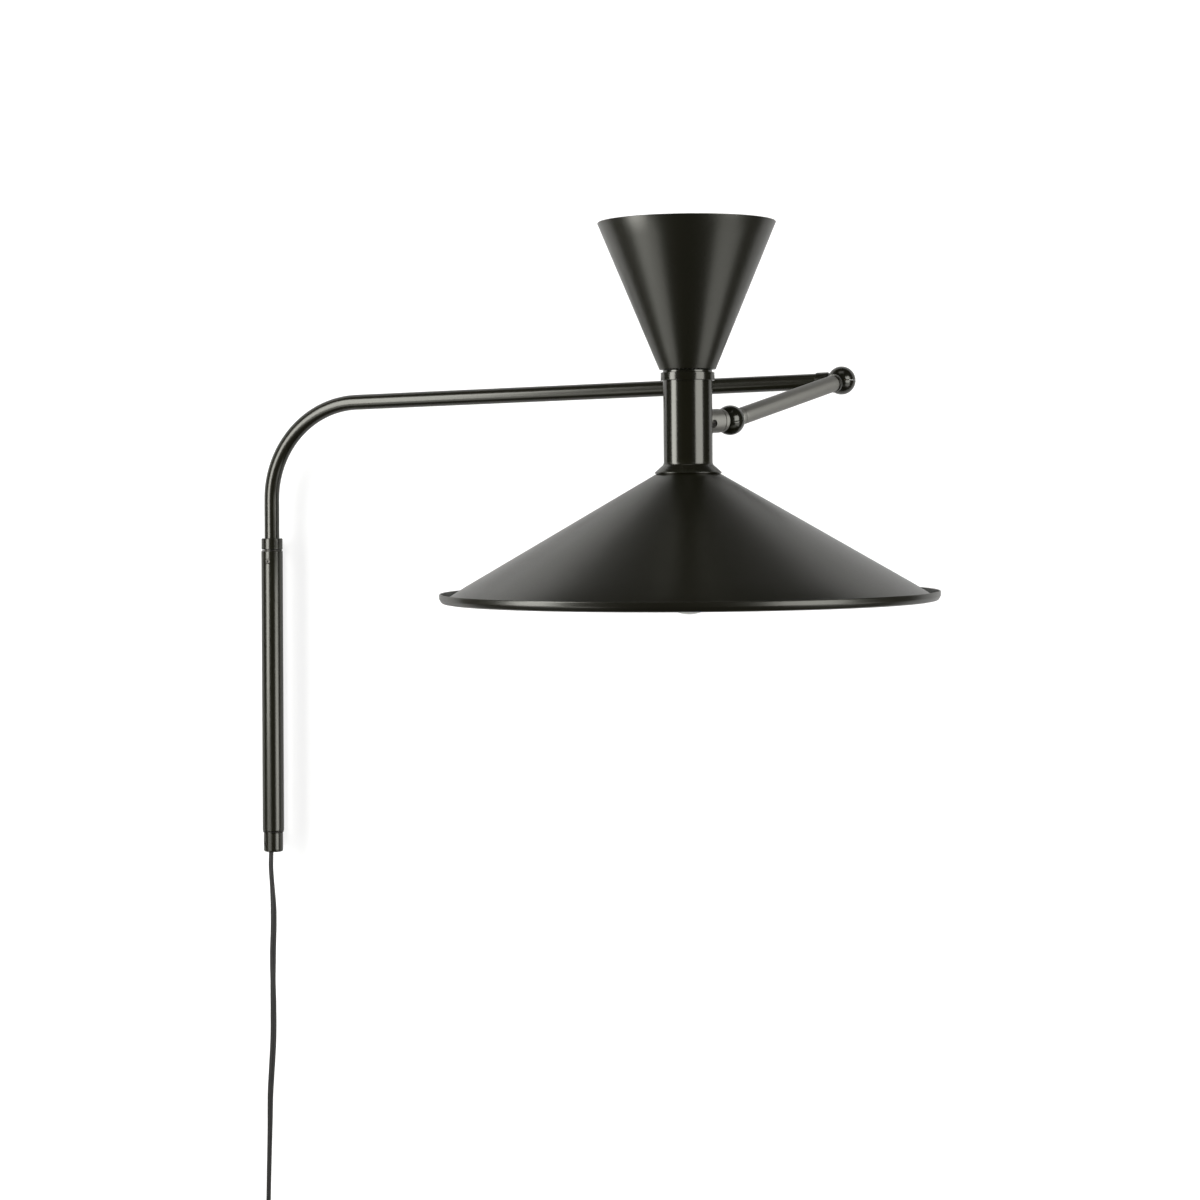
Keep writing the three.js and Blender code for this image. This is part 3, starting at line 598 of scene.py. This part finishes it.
def plug(count=64):
    """A moulded flat plug: a ribbed tapered boot, a waist and a broad ribbed grip with a rounded pin face.
    A section is a height, half a width, half a thickness and the power of its superellipse."""
    boot_ribs, grip_ribs = 5, 4
    sections = [(0.4, 1.9, 1.9, 2), (0, 2.1, 2.1, 2), (-0.5, 2.9, 2.9, 2)]
    for k in range(boot_ribs):
        z = -1.5 - 3.7 * k
        crest = 2.9 + 0.28 * k
        for drop, rise in ((0, 0), (0.3, -0.6), (1.5, -0.6), (1.8, 0.1)):
            sections.append((z - drop, crest + rise, crest + rise, 2))
    top = -PLUG["boot"]
    width, thick = PLUG["width"] / 2, PLUG["thickness"] / 2
    sections += [
        (top + 0.8, 4.3, 4.3, 2.1),
        (top - 0.4, 4.6, 4.9, 2.3),
        (top - 2, 5.0, 5.9, 2.6),
        (top - 5, 6.2, 6.5, 3),
        (top - 8.5, 8.6, thick, 3.4),
        (top - 12, 11.0, thick, 3.8),
        (top - 15.5, 12.2, thick, 4),
        (top - 19, width, thick, 4),
    ]
    for k in range(grip_ribs):
        z = top - 20.2 - 1.9 * k
        for drop, cut in ((0, 0), (0.35, 0.45), (0.75, 0.45), (1.1, 0)):
            sections.append((z - drop, width - cut, thick - cut, 4))
    end = top - PLUG["length"]
    for rise, cut in ((1.2, 0), (0.5, 0.25), (0.12, 0.75), (0, 1.4)):
        sections.append((end + rise, width - cut, thick - cut, 4))
    x_place, y_place, _ = TAIL_ROUTE[-1]
    rings = []
    for z, half_x, half_y, power in sections:
        outline = [squircle_point(2 * math.pi * k / count, half_x, half_y, power) for k in range(count)]
        height = (PLUG["top"] + z) * MM
        rings.append([((x_place + x) * MM, (y_place + y) * MM, height) for x, y in outline])
    return from_rings("plug", rings, caps=True)


plug_piece = finish(plug(), "wall_bracket", "plug_body", PLASTIC)
pins = []
pin_top = PLUG["top"] - PLUG["boot"] - PLUG["length"]
for name, side in (("left", -1), ("right", 1)):
    place = upright(TAIL_ROUTE[-1][0] + side * PIN["spacing"] / 2, TAIL_ROUTE[-1][1], pin_top)
    r, sleeve_end, pin_end = PIN["radius"], -PIN["sleeve"], -PIN["length"]
    sleeve_outline = [(r - 0.15, 0.2), (r, 0.2), (r, sleeve_end), (r - 0.15, sleeve_end)]
    sleeve = lathe("pin_sleeve_" + name, sleeve_outline, place, 40)
    finish(sleeve, "wall_bracket", "", PLASTIC)
    pin_outline = [(0, 0.2), (r - 0.16, 0.2), (r - 0.16, sleeve_end)]
    pin_outline += [(r, sleeve_end - 0.1, 0.1), (r, pin_end, 1.2), (0, pin_end)]
    pin = lathe("pin_" + name, rounded(pin_outline), place, 40)
    finish(pin, "wall_bracket", "plug_pin_" + name, STEEL)
    pins += [sleeve, pin]


# ---------------------------------------------------------------- wall bracket
def stadium(inset):
    """The wall plate's outline in x and z, drawn in by inset."""
    middle = PLATE["width"] / 2
    half = middle - inset
    top = arc(0, PLATE["top"] - middle, half, 0, 180, 32)
    return top + arc(0, PLATE["bottom"] + middle, half, 180, 360, 32)


def facing_out(height):
    """A frame at that height on the wall whose Z points into the room, towards -Y."""
    return frame_at(Vector((0, 0, height * MM)), RIGHT, UP, Vector((0, -1, 0)))


def middle_of(collar):
    return (collar["bottom"] + collar["top"]) / 2


def wall_plate():
    """The plate with softened front edges, two countersunk screw holes and the stems' two bolt holes."""
    thick = PLATE["thickness"]
    steps = [(0, 0.15), (0.15, 0), (thick - 0.7, 0)]
    steps += [(thick - 0.4, 0.08), (thick - 0.12, 0.32), (thick, 0.7)]
    rings = [[(x * MM, -depth * MM, z * MM) for x, z in stadium(inset)] for depth, inset in steps]
    plate = from_rings("wall_plate_body", rings, caps=True)
    tools = []
    screw, bolt, bolt_head = PLATE["screw_hole"], STEM["bolt"], STEM["head"]
    for height in (-PLATE["screw_height"], PLATE["screw_height"]):
        sunk = [(0, -1), (screw, -1), (screw, 1.4), (screw + 1.8, 3.3), (0, 3.3)]
        tools.append(lathe("tool", sunk, facing_out(height), 48))
    for collar in (UPPER_COLLAR, LOWER_COLLAR):
        hole = [(0, -1), (bolt_head, -1), (bolt_head, 2), (bolt, 2), (bolt, 5), (0, 5)]
        tools.append(lathe("tool", hole, facing_out(middle_of(collar)), 40))
    return carve(plate, *tools)


finish(wall_plate(), "wall_bracket", "wall_plate", SATIN)


def bracket(name, collar, outline):
    """A collar joined to its stem, with a small foot ring where the stem meets the plate."""
    body = lathe(name, rounded(outline), TUBE_AXIS, 96)
    reach = -AXIS_Y - collar["radius"] + 1.5
    r = STEM["radius"]
    profile = [(0, 3.15), (r + 0.35, 3.15, 0.2), (r + 0.35, 3.7, 0.2), (r, 4.2), (r, reach), (0, reach)]
    stem = lathe("tool", rounded(profile), facing_out(middle_of(collar)), 64)
    return carve(body, stem, operation="UNION")


upper_outline = [
    (5.7, UPPER_COLLAR["bottom"], 0.15),
    (UPPER_COLLAR["radius"], UPPER_COLLAR["bottom"], 0.25),
    *[(UPPER_COLLAR["radius"], z) for z in stations(105.4, 111.4, 1.5)],
    (UPPER_COLLAR["radius"], UPPER_COLLAR["top"], 0.7),
    (5.7, UPPER_COLLAR["top"], 0.2),
]
finish(
    bracket("upper_bracket_body", UPPER_COLLAR, upper_outline),
    "wall_bracket", "upper_bracket", SATIN,
)
lower_outline = [
    (3, LOWER_COLLAR["bottom"], 0.15),
    (LOWER_COLLAR["radius"], LOWER_COLLAR["bottom"], 2),
    *[(LOWER_COLLAR["radius"], z) for z in stations(-113, -102.3, 1.5)],
    (LOWER_COLLAR["radius"], LOWER_COLLAR["top"], 0.3),
    (5.35, LOWER_COLLAR["top"]),
    (5.35, -90, 0.4),
    (3, -90, 0.2),
]
lower_bracket = bracket("lower_bracket_body", LOWER_COLLAR, lower_outline)


def radial(azimuth, height):
    """A frame on the wall tube's axis whose Z points outwards at that azimuth."""
    a = math.radians(azimuth)
    return along(Vector((0, AXIS_Y * MM, height * MM)), Vector((math.cos(a), math.sin(a), 0)))


def hexagon(across):
    """The corners of a hexagon of that width across its flats."""
    corner = across / math.sqrt(3)
    return [(corner * math.cos(math.pi * k / 3), corner * math.sin(math.pi * k / 3)) for k in range(6)]


def socket_screw(name, radius, low, high, socket, matrix):
    """A set screw with a chamfered end and a hexagon socket."""
    chamfer = 0.16 * radius
    body = lathe(name, rounded([(0, low), (radius, low), (radius, high, chamfer), (0, high)]), matrix, 40)
    return carve(body, prism("tool", hexagon(socket), high - 1.4, high + 1, matrix))


grub_frame = radial(GRUB["azimuth"], GRUB["height"])
finish(
    carve(lower_bracket, rod("tool", GRUB["radius"] + 0.25, 4.4, 12, grub_frame, 40)),
    "wall_bracket", "lower_bracket", SATIN,
)
finish(
    socket_screw("grub_screw", GRUB["radius"], 4.75, 6.7, 1.6, grub_frame),
    "wall_bracket", "cord_grub_screw", DARK_STEEL,
)
for name, below in (("upper", WALL_TUBE["top"]), ("lower", LOWER_COLLAR["top"])):
    bottom = below + WASHER["gap"]
    inner, outer, top = WALL_TUBE["bore"], WASHER["radius"], bottom + WASHER["thickness"]
    ring = lathe(
        name + "_thrust_washer",
        rounded([(inner, bottom, 0.1), (outer, bottom, 0.2), (outer, top, 0.2), (inner, top, 0.1)], 3),
        TUBE_AXIS,
    )
    finish(ring, "wall_bracket", name + "_washer", DARK_STEEL)
gland = lathe(
    "gland_ring",
    rounded([(2.35, -115.9, 0.25), (2.95, -115.9, 0.2), (2.95, -104), (2.35, -104)]),
    TUBE_AXIS, 48,
)
finish(gland, "wall_bracket", "cord_gland", PLASTIC)

# ---------------------------------------------------------------- wall tube and arm
r, bore = WALL_TUBE["radius"], WALL_TUBE["bore"]
wall_tube = lathe(
    "wall_tube_body",
    rounded([
        (bore, WALL_TUBE["bottom"], 0.2),
        (r, WALL_TUBE["bottom"], 0.35),
        *[(r, z) for z in stations(-99, 90, 24)],
        *[(r, z) for z in stations(91.5, 102, 1.5)],
        (r, WALL_TUBE["top"], 0.35),
        (bore, WALL_TUBE["top"], 0.2),
    ]),
    TUBE_AXIS, 128,
)
screw_frame = radial(SET_SCREW["azimuth"], SET_SCREW["height"])
finish(
    carve(wall_tube, rod("tool", SET_SCREW["radius"] + 0.2, 3, 12, screw_frame, 40)),
    "swing_arm", "wall_tube", SATIN,
)
finish(
    socket_screw("wall_tube_screw", SET_SCREW["radius"], 5.8, 7.75, 1.7, screw_frame),
    "swing_arm", "tube_set_screw", DARK_STEEL,
)


def bent_path(end_distance):
    """Points in metres up the wall tube's axis, round the bend and along the arm."""
    turn = math.pi / 2 - math.asin(arm_direction.z)
    bend = ARM["bend"] * MM
    level = Vector((arm_direction.x, arm_direction.y, 0)).normalized()
    start = arm_corner - UP * bend * math.tan(turn / 2)
    bottom = Vector((0, AXIS_Y * MM, ARM["leg_bottom"] * MM))
    points = [bottom.lerp(start, k / 6) for k in range(6)]
    for k in range(49):
        a = turn * k / 48
        points.append(start + level * bend * (1 - math.cos(a)) + UP * bend * math.sin(a))
    end = arm_corner + arm_direction * end_distance * MM
    last = points[-1]
    points += [last.lerp(end, k / 24) for k in range(1, 25)]
    return points


arm_length = (elbow_centre - arm_corner).length / MM
arm = tube("arm_tube_body", bent_path(arm_length - ARM["ferrule"] - 0.1), ARM["radius"], ARM["bore"], 96)
finish(arm, "swing_arm", "arm_tube", SATIN)


# ---------------------------------------------------------------- ball joints
def seat(edge):
    """The round seat that rides on a ball, as outline points from the stem's hole to the edge's radius."""
    start, end = (math.degrees(math.acos(radius / BALL["seat"])) for radius in (STEM_HOLE, edge))
    return arc(0, 0, BALL["seat"], start, end, 6)


def ball_halves(name, centre, swivel, tilt, inner, outer, ranges, body):
    """Two hollow half balls with the slots for the stem that swivels and the stud that tilts."""
    level = tilt.cross(swivel)
    ball = frame_at(centre, level, tilt, swivel)
    inner_azimuth = math.degrees(math.atan2(inner.dot(tilt), inner.dot(level)))
    elevation = math.degrees(math.asin(outer.dot(swivel)))
    half = BALL["stem"] + 0.3
    margin = math.degrees(math.asin(half / BALL["cavity"])) + 1
    tilted = ball @ Matrix.Rotation(math.pi / 2, 4, "X")
    parting = 0.12
    start = math.degrees(math.asin(parting / BALL["radius"]))
    low = math.degrees(math.asin(parting / BALL["cavity"]))
    high = math.degrees(math.asin(BALL["cavity_height"] / BALL["cavity"]))
    shell = arc(0, 0, BALL["radius"], start + 1.2, 90, 30)
    shell[-1] = (0, BALL["radius"])
    shell += [(0, 8.2), (2.35, 8.2), (2.35, BALL["cavity_height"])]
    shell += arc(0, 0, BALL["cavity"], high, low, 8)
    shell += [(BALL["radius"] - 0.28, parting), (BALL["radius"] - 0.08, parting + 0.05)]
    slots = []
    for angle, motion, matrix in ((inner_azimuth, "swivel", ball), (elevation, "tilt", tilted)):
        least, most = ranges[motion]
        slots.append((angle - most - margin, angle - least + margin, half, matrix))
    for side, sign in (("upper", 1), ("lower", -1)):
        part = lathe(f"{name}_half_{side}", [(r, sign * z) for r, z in shell], ball, 128)
        carve(part, *[wedge("tool", *slot) for slot in slots])
        finish(part, body, f"{name}_ball_{side}", GLOSS)


def axis_of(joint):
    return Vector(joints[joint]["axis"]).normalized()


ball_halves(
    "elbow", elbow_centre, axis_of("elbow_swivel"), axis_of("elbow_tilt"),
    -arm_direction, fore_arm_direction, ELBOW, "elbow_ball",
)
ball_halves(
    "head", head_ball_centre, axis_of("head_swivel"), axis_of("head_tilt"),
    -fore_arm_direction, stub_direction, HEAD_JOINT, "head_ball",
)


def ferrule(name, radius, length, tube_bore, matrix):
    """A tube's end: a seat for the ball, a short barrel and a plug that goes into the tube."""
    outline = [
        *seat(min(5.3, radius - 0.3)),
        (radius, 9.2, 0.3),
        (radius, length, 0.25),
        (tube_bore - 0.3, length),
        (tube_bore - 0.3, 27),
        (STEM_HOLE, 27),
    ]
    return lathe(name, rounded(outline), matrix, 96)


finish(
    ferrule("arm_ferrule", 6, ARM["ferrule"], ARM["bore"], along(elbow_centre, -arm_direction)),
    "swing_arm", "arm_end_ferrule", SATIN,
)
finish(
    ferrule(
        "fore_arm_ferrule", FORE_ARM["radius"], FORE_ARM["ferrule"], FORE_ARM["bore"],
        along(head_ball_centre, -fore_arm_direction),
    ),
    "fore_arm", "fore_arm_end_ferrule", SATIN_WITH_PAINTED_LIGHT,
)
fore_frame = along(elbow_centre, fore_arm_direction)
finish(
    lathe(
        "fore_arm_collar",
        rounded([*seat(5.3), (6.1, 9.2, 0.3), (6.1, 11.6, 0.3), (STEM_HOLE, 11.6)]),
        fore_frame, 96,
    ),
    "fore_arm", "fore_arm_ring", SATIN,
)
fore_length = (head_ball_centre - elbow_centre).length / MM
r, bore = FORE_ARM["radius"], FORE_ARM["bore"]
fore_end = fore_length - FORE_ARM["ferrule"] - 0.15
finish(
    lathe(
        "fore_arm_body",
        rounded([
            (bore, FORE_ARM["start"]),
            (r, FORE_ARM["start"], 0.3),
            *[(r, z) for z in stations(16, fore_end - 4, 20)],
            (r, fore_end, 0.12),
            (bore, fore_end),
        ]),
        fore_frame, 96,
    ),
    "fore_arm", "fore_arm_tube", SATIN_WITH_PAINTED_LIGHT,
)

# ---------------------------------------------------------------- stub and its screw
tilt_axis = axis_of("head_tilt")
stud_frame = frame_at(head_ball_centre, stub_direction, tilt_axis, stub_direction.cross(tilt_axis))
stub_frame = along(head_ball_centre, stub_direction, stub_direction.cross(tilt_axis))
finish(
    lathe(
        "stub_collar",
        rounded([*seat(6.5), (7.3, 8.3, 0.35), (7.3, 11.3, 0.4), (STEM_HOLE, 11.3)]),
        stub_frame, 96,
    ),
    "head_pivot", "stub_ring", SATIN_WITH_PAINTED_LIGHT,
)
screw_place = (
    stud_frame
    @ Matrix.Translation((STUB_SCREW["along"] * MM, 0, 0))
    @ Matrix.Rotation(math.radians(STUB_SCREW["angle"]), 4, "X")
)
stub = lathe(
    "stub_body",
    rounded([
        (STUB["bore"], STUB["start"]),
        (STUB["radius"], STUB["start"], 0.6),
        *[(STUB["radius"], z) for z in stations(13, 38.5, 1.5)],
        (STUB["radius"], STUB["length"]),
        (STUB["bore"], STUB["length"]),
    ]),
    stub_frame, 96,
)
carve(
    stub,
    rod("tool", NECK["radius"] + 0.05, -60, 60, HEAD, 128),
    rod("tool", STUB_SCREW["radius"] + 0.3, 2, 12, screw_place, 48),
)
finish(stub, "head", "head_stub", SATIN_WITH_PAINTED_LIGHT)
slotted = lathe(
    "stub_screw_head",
    rounded([
        (0, STUB_SCREW["inner"]),
        (STUB_SCREW["radius"], STUB_SCREW["inner"]),
        (STUB_SCREW["radius"], STUB_SCREW["outer"] - 0.5, 0.45),
        (0, STUB_SCREW["outer"] - 0.25),
    ]),
    screw_place, 48,
)
slot_outline = [(-5, -0.4), (5, -0.4), (5, 0.4), (-5, 0.4)]
carve(slotted, prism("tool", slot_outline, STUB_SCREW["outer"] - 1.3, STUB_SCREW["outer"] + 1, screw_place))
finish(slotted, "head", "stub_screw", DARK_STEEL)

# ---------------------------------------------------------------- the head's turned parts
neck = lathe(
    "neck_body",
    rounded([
        (NECK["bore"], NECK["bottom"]),
        (NECK["radius"], NECK["bottom"]),
        *[(NECK["radius"], z) for z in stations(-22, 24, 2)],
        *[(NECK["radius"], z) for z in stations(26, 31, 2.5)],
        (NECK["radius"], NECK["top"], 0.4),
        (NECK["bore"], NECK["top"]),
    ]),
    HEAD, 160,
)
wire_frame = along(head_ball_centre, stub_direction)
carve(neck, rod("tool", NECK["wire_hole"], STUB["length"] - 20, STUB["length"] - 8, wire_frame, 32))
finish(neck, "head", "neck_tube", GLOSS)
inner, outer, bottom, top = NECK_BAND.values()
band_outline = [(inner, bottom, 0.1), (outer, bottom, 0.35), (outer, top, 0.35), (inner, top, 0.1)]
finish(
    lathe("neck_band", rounded(band_outline), HEAD, 160),
    "head", "neck_ring", GLOSS,
)
finish(
    lathe(
        "shade_collar",
        rounded([
            (NECK["bore"], FLANGE["bottom"]),
            (FLANGE["radius"] - 0.5, FLANGE["bottom"], 0.2),
            (FLANGE["radius"], FLANGE["bottom"] + 1, 0.3),
            (NECK["radius"] + 0.3, FLANGE["top"] - 1.2, 3.5),
            (NECK["radius"] + 0.05, FLANGE["top"]),
            (NECK["bore"], FLANGE["top"]),
        ]),
        HEAD, 160,
    ),
    "head", "shade_flange", SATIN,
)
shade_outline = [
    (SHADE["bore"], SHADE["outer_top"][1]),
    (*SHADE["outer_top"], 3.5),
    *along_side(SHADE["outer_top"], (149.5, -106.9), 12),
    (149.9, -107.6, 1.5),
    (151.2, -109.2, 1.0),
    (153.95, -109.2, 1.0),
    (153.95, -104.9, 0.3),
    (154.7, -104.7, 0.3),
    (155.0, -105.5, 0.6),
    (154.9, -107.9, 2.2),
    (153.5, -110.4, 1.8),
    (150.2, -111.0, 1.6),
    (147.8, -108.4, 2.2),
    *reversed(along_side(SHADE["inner_top"], (148.4, -107.7), 12)),
    (*SHADE["inner_top"], 2.5),
    (SHADE["bore"], SHADE["inner_top"][1]),
]
finish(
    lathe("shade_body", rounded(shade_outline), HEAD, 256),
    "head", "lower_shade", SHADE_PAINT,
)
outer_rim, inner_rim = (55.2, 123), (54.1, 123.2)
cone_outline = [
    (CONE["bore"], CONE["outer_foot"][1]),
    (*CONE["outer_foot"], 0.5),
    *along_side(CONE["outer_foot"], outer_rim, 8),
    (*outer_rim, 0.35),
    (*inner_rim, 0.35),
    *reversed(along_side(CONE["inner_foot"], inner_rim, 8)),
    (*CONE["inner_foot"], 0.5),
    (CONE["bore"], CONE["inner_foot"][1]),
]
finish(
    lathe("cone_body", rounded(cone_outline), HEAD, 192),
    "head", "upper_cone", SHADE_PAINT,
)


# ---------------------------------------------------------------- lampholders, nuts and bulbs
def knurled(count, depth, low, high):
    """A shape for lathe: that many shallow flutes between two heights."""

    def shape(r, z, angle):
        inside = low < z < high
        return r - depth * (0.5 + 0.5 * math.cos(count * angle)) ** 3 if inside else r

    return shape


def lampholder(name, mouth, matrix):
    """A plastic holder with a fluted skirt, a smooth barrel and an open socket at its mouth."""
    radius, inner = HOLDER["radius"], HOLDER["inner"]
    outline = [
        (0, -inner),
        (radius - 1.2, -inner, 0.6),
        (radius - 0.2, -inner - 2, 0.5),
        *[(radius, -z) for z in stations(inner + 6, inner + 30, 3)],
        (radius, -inner - 33, 0.4),
        (radius - 1.0, -inner - 34.5, 0.4),
        *[(radius - 1.0, -z) for z in stations(inner + 36, mouth - 3, 3)],
        (radius - 1.0, -mouth, 1.0),
        (HOLDER["socket"], -mouth, 0.5),
        (HOLDER["socket"], -mouth + HOLDER["depth"]),
        (0, -mouth + HOLDER["depth"]),
    ]
    flutes = knurled(24, 0.45, -inner - 31, -inner - 8)
    body = lathe(name + "_holder", rounded(outline), matrix, 144, flutes)
    return finish(body, "head", name + "_lampholder", HOLDER_PLASTIC)


def bulb(name, mouth, matrix):
    """A screw cap with a rolled thread, and a round opal bulb with a thin wall."""
    cap, radius = BULB["cap_radius"], BULB["radius"]
    inner = radius - BULB["wall"]
    cap_bottom = -mouth - 0.6
    top = cap_bottom + BULB["cap_height"]

    def thread(r, z, angle):
        inside = cap_bottom + 3 < z < top - 2
        return r + 0.4 * (math.cos(angle - 2 * math.pi * z / BULB["pitch"]) - 1) if inside else r

    outline = [
        (0, top + 2.4),
        (2.4, top + 2.4, 0.5),
        (5.0, top + 0.4, 0.6),
        (cap, top - 1, 0.6),
        *[(cap, z) for z in stations(top - 1.6, cap_bottom + 1, 0.4)],
        (cap, cap_bottom, 0.2),
        (0, cap_bottom),
    ]
    screw_cap = lathe(name + "_cap", rounded(outline, 3), matrix, 72, thread)
    finish(screw_cap, "head", name + "_bulb_cap", CAP_METAL)
    glass_top = cap_bottom - 0.15
    centre = glass_top - 28.75
    glass = [
        *arc(0, centre, radius, -90, 56, 40),
        (9.9, centre + 23.2, 6),
        (8.6, glass_top, 0.3),
        (7.6, glass_top, 0.3),
        (8.9, centre + 22.6, 5),
        *arc(0, centre, inner, 56, -90, 20),
    ]
    glass[0] = (0, centre - radius)
    glass[-1] = (0, centre - inner)
    shell = lathe(name + "_bulb", rounded(glass), matrix, 128)
    return finish(shell, "head", name + "_bulb_glass", GLASS)


lampholder("lower", LOWER_MOUTH, HEAD)
lampholder("upper", UPPER_MOUTH, FLIPPED)
bulb("lower", LOWER_MOUTH, HEAD)
bulb("upper", UPPER_MOUTH, FLIPPED)
nut_bore = 13.65
for name, node, radius, low, high in (
    ("shade_nut", "shade_ring_nut", 17.5, -38.4, -33.4),
    ("cone_nut", "cone_ring_nut", 16.3, 33.8, 38),
):
    outline = [(nut_bore, low, 0.3), (radius, low, 0.5)]
    outline += [(radius, z) for z in stations(low + 0.8, high - 0.8, 0.8)]
    outline += [(radius, high, 0.5), (nut_bore, high, 0.3)]
    nut = lathe(name, rounded(outline), HEAD, 192, knurled(32, 0.5, low + 0.7, high - 0.7))
    finish(nut, "head", node, HOLDER_PLASTIC)

# ---------------------------------------------------------------- CAD nodes that stay, inside the lamp
KEPT = {
    "upper_stem_bolt": STEEL,
    "lower_stem_bolt": STEEL,
    "arm_lead": SHEATH,
    "fore_arm_lead": SHEATH,
    "elbow_yoke": STEEL,
    "head_yoke": STEEL,
    "elbow_stud": STEEL,
    "head_stud": STEEL,
    "elbow_barrel": BRASS_DARKENED_FOR_SHADE,
    "head_barrel": BRASS_DARKENED_FOR_SHADE,
    "elbow_cross_pin": STEEL,
    "head_cross_pin": STEEL,
    "terminal_block": HOLDER_PLASTIC,
}
for name, material in KEPT.items():
    node = frame["nodes"][name]
    node.data.materials.clear()
    node.data.materials.append(material)


# ---------------------------------------------------------------- wall, floor and lights, in metres
WALL = {"left": -0.25, "right": 0.95, "bottom": -0.6, "top": 0.56, "gap": 0.0008}
FLOOR = {"left": -3, "right": 3.5, "front": -3, "back": 3, "height": -0.6}
LAMP_SHARE = 0.4
SOFTBOX_COLOUR = (1, 0.995, 0.975)


def stage_material(name, colour, glow):
    """Pale matt paint, faintly mottled, seen from the front only.  It glows evenly, and only a share of that
    glow lights the lamp."""
    made = Nodes(name)
    pale = tuple(min(1, c * 1.03) for c in colour)
    made.colour(made.mix(made.between(made.noise(3, 3), 0, 1), colour, pale))
    made.rough(made.between(made.noise(200, 2), 0.8, 0.9))
    made.set(Emission_Color=(1, 1, 1, 1))
    tree = made.tree
    seen = tree.nodes.new("ShaderNodeLightPath").outputs["Is Camera Ray"]
    strength = made.between(seen, LAMP_SHARE * glow, glow, 0, 1)
    tree.links.new(strength, made.shader.inputs["Emission Strength"])
    clear = tree.nodes.new("ShaderNodeBsdfTransparent")
    chooser = tree.nodes.new("ShaderNodeMixShader")
    facing = tree.nodes.new("ShaderNodeNewGeometry")
    tree.links.new(facing.outputs["Backfacing"], chooser.inputs["Fac"])
    tree.links.new(made.shader.outputs["BSDF"], chooser.inputs[1])
    tree.links.new(clear.outputs["BSDF"], chooser.inputs[2])
    tree.links.new(chooser.outputs["Shader"], tree.nodes["Material Output"].inputs["Surface"])
    return made.material


def panel(name, corners, material):
    mesh = bpy.data.meshes.new(name)
    mesh.from_pydata(corners, [], [range(4)])
    obj = new_object(name, mesh)
    mesh.materials.append(material)
    return obj


wall_paint = stage_material("wall_paint", (0.42, 0.42, 0.42), 0.72)
floor_paint = stage_material("floor_paint", (0.1, 0.1, 0.1), 0.74)
wall_corners = [("left", "bottom"), ("right", "bottom"), ("right", "top"), ("left", "top")]
panel("wall", [(WALL[x], WALL["gap"], WALL[z]) for x, z in wall_corners], wall_paint)
floor_corners = [("left", "front"), ("right", "front"), ("right", "back"), ("left", "back")]
floor = panel("floor", [(FLOOR[x], FLOOR[y], FLOOR["height"]) for x, y in floor_corners], floor_paint)
floor.visible_glossy = False
floor.visible_diffuse = False


def softbox(name, location, target, width, height, power):
    """A rectangular area light aimed at a target, in metres and watts."""
    data = bpy.data.lights.new(name, "AREA")
    data.shape = "RECTANGLE"
    data.size = width
    data.size_y = height
    data.energy = power
    data.color = SOFTBOX_COLOUR
    obj = bpy.data.objects.new(name, data)
    obj.location = location
    obj.visible_camera = False
    obj.rotation_euler = (Vector(target) - Vector(location)).to_track_quat("-Z", "Y").to_euler()
    bpy.context.scene.collection.objects.link(obj)
    return obj


def lights_only(light, names):
    """Keeps a light, and the shadows in it, to the named pieces."""
    lit = bpy.data.collections.new(light.name + "_pieces")
    for piece in names:
        lit.objects.link(bpy.data.objects[piece])
    light.light_linking.receiver_collection = lit
    light.light_linking.blocker_collection = lit


softbox("left_softbox", (-0.52, -0.578, 0.36), (0.15, -0.07, 0.36), 0.4, 0.9, 9.6)
softbox("left_low_softbox", (-0.476, -0.637, -0.35), (0.15, -0.16, -0.35), 0.63, 0.5, 1.8)
softbox("right_softbox", (2.28, -1.81, 0.5), (0.2, -0.2, 0.5), 1.67, 2.2, 61)
softbox("right_low_softbox", (1.06, -0.637, -0.35), (0.43, -0.16, -0.35), 0.63, 0.5, 1.7)
softbox("top_softbox", (0.25, -0.9, 2.2), (0.25, -0.2, 0.2), 1.2, 0.8, 3)
side = softbox("side_softbox", (1.1, -0.32, 0.2), (0.35, -0.24, 0.2), 0.6, 1.2, 7)
lights_only(side, ("fore_arm_body", "fore_arm_ferrule", "stub_body", "stub_collar"))

world = bpy.data.worlds.new("studio")
bpy.context.scene.world = world
world.use_nodes = True
tree = world.node_tree
dim = tree.nodes["Background"]
dim.inputs["Color"].default_value = (1, 1, 1, 1)
dim.inputs["Strength"].default_value = 0.05
pale = tree.nodes.new("ShaderNodeBackground")
pale.inputs["Color"].default_value = (0.93, 0.93, 0.93, 1)
pale.inputs["Strength"].default_value = 1.0
seen = tree.nodes.new("ShaderNodeLightPath")
chooser = tree.nodes.new("ShaderNodeMixShader")
tree.links.new(seen.outputs["Is Camera Ray"], chooser.inputs["Fac"])
tree.links.new(dim.outputs["Background"], chooser.inputs[1])
tree.links.new(pale.outputs["Background"], chooser.inputs[2])
tree.links.new(chooser.outputs["Shader"], tree.nodes["World Output"].inputs["Surface"])
bpy.context.scene.view_settings.view_transform = "Standard"
bpy.context.scene.view_settings.look = "None"

bpy.context.view_layer.update()
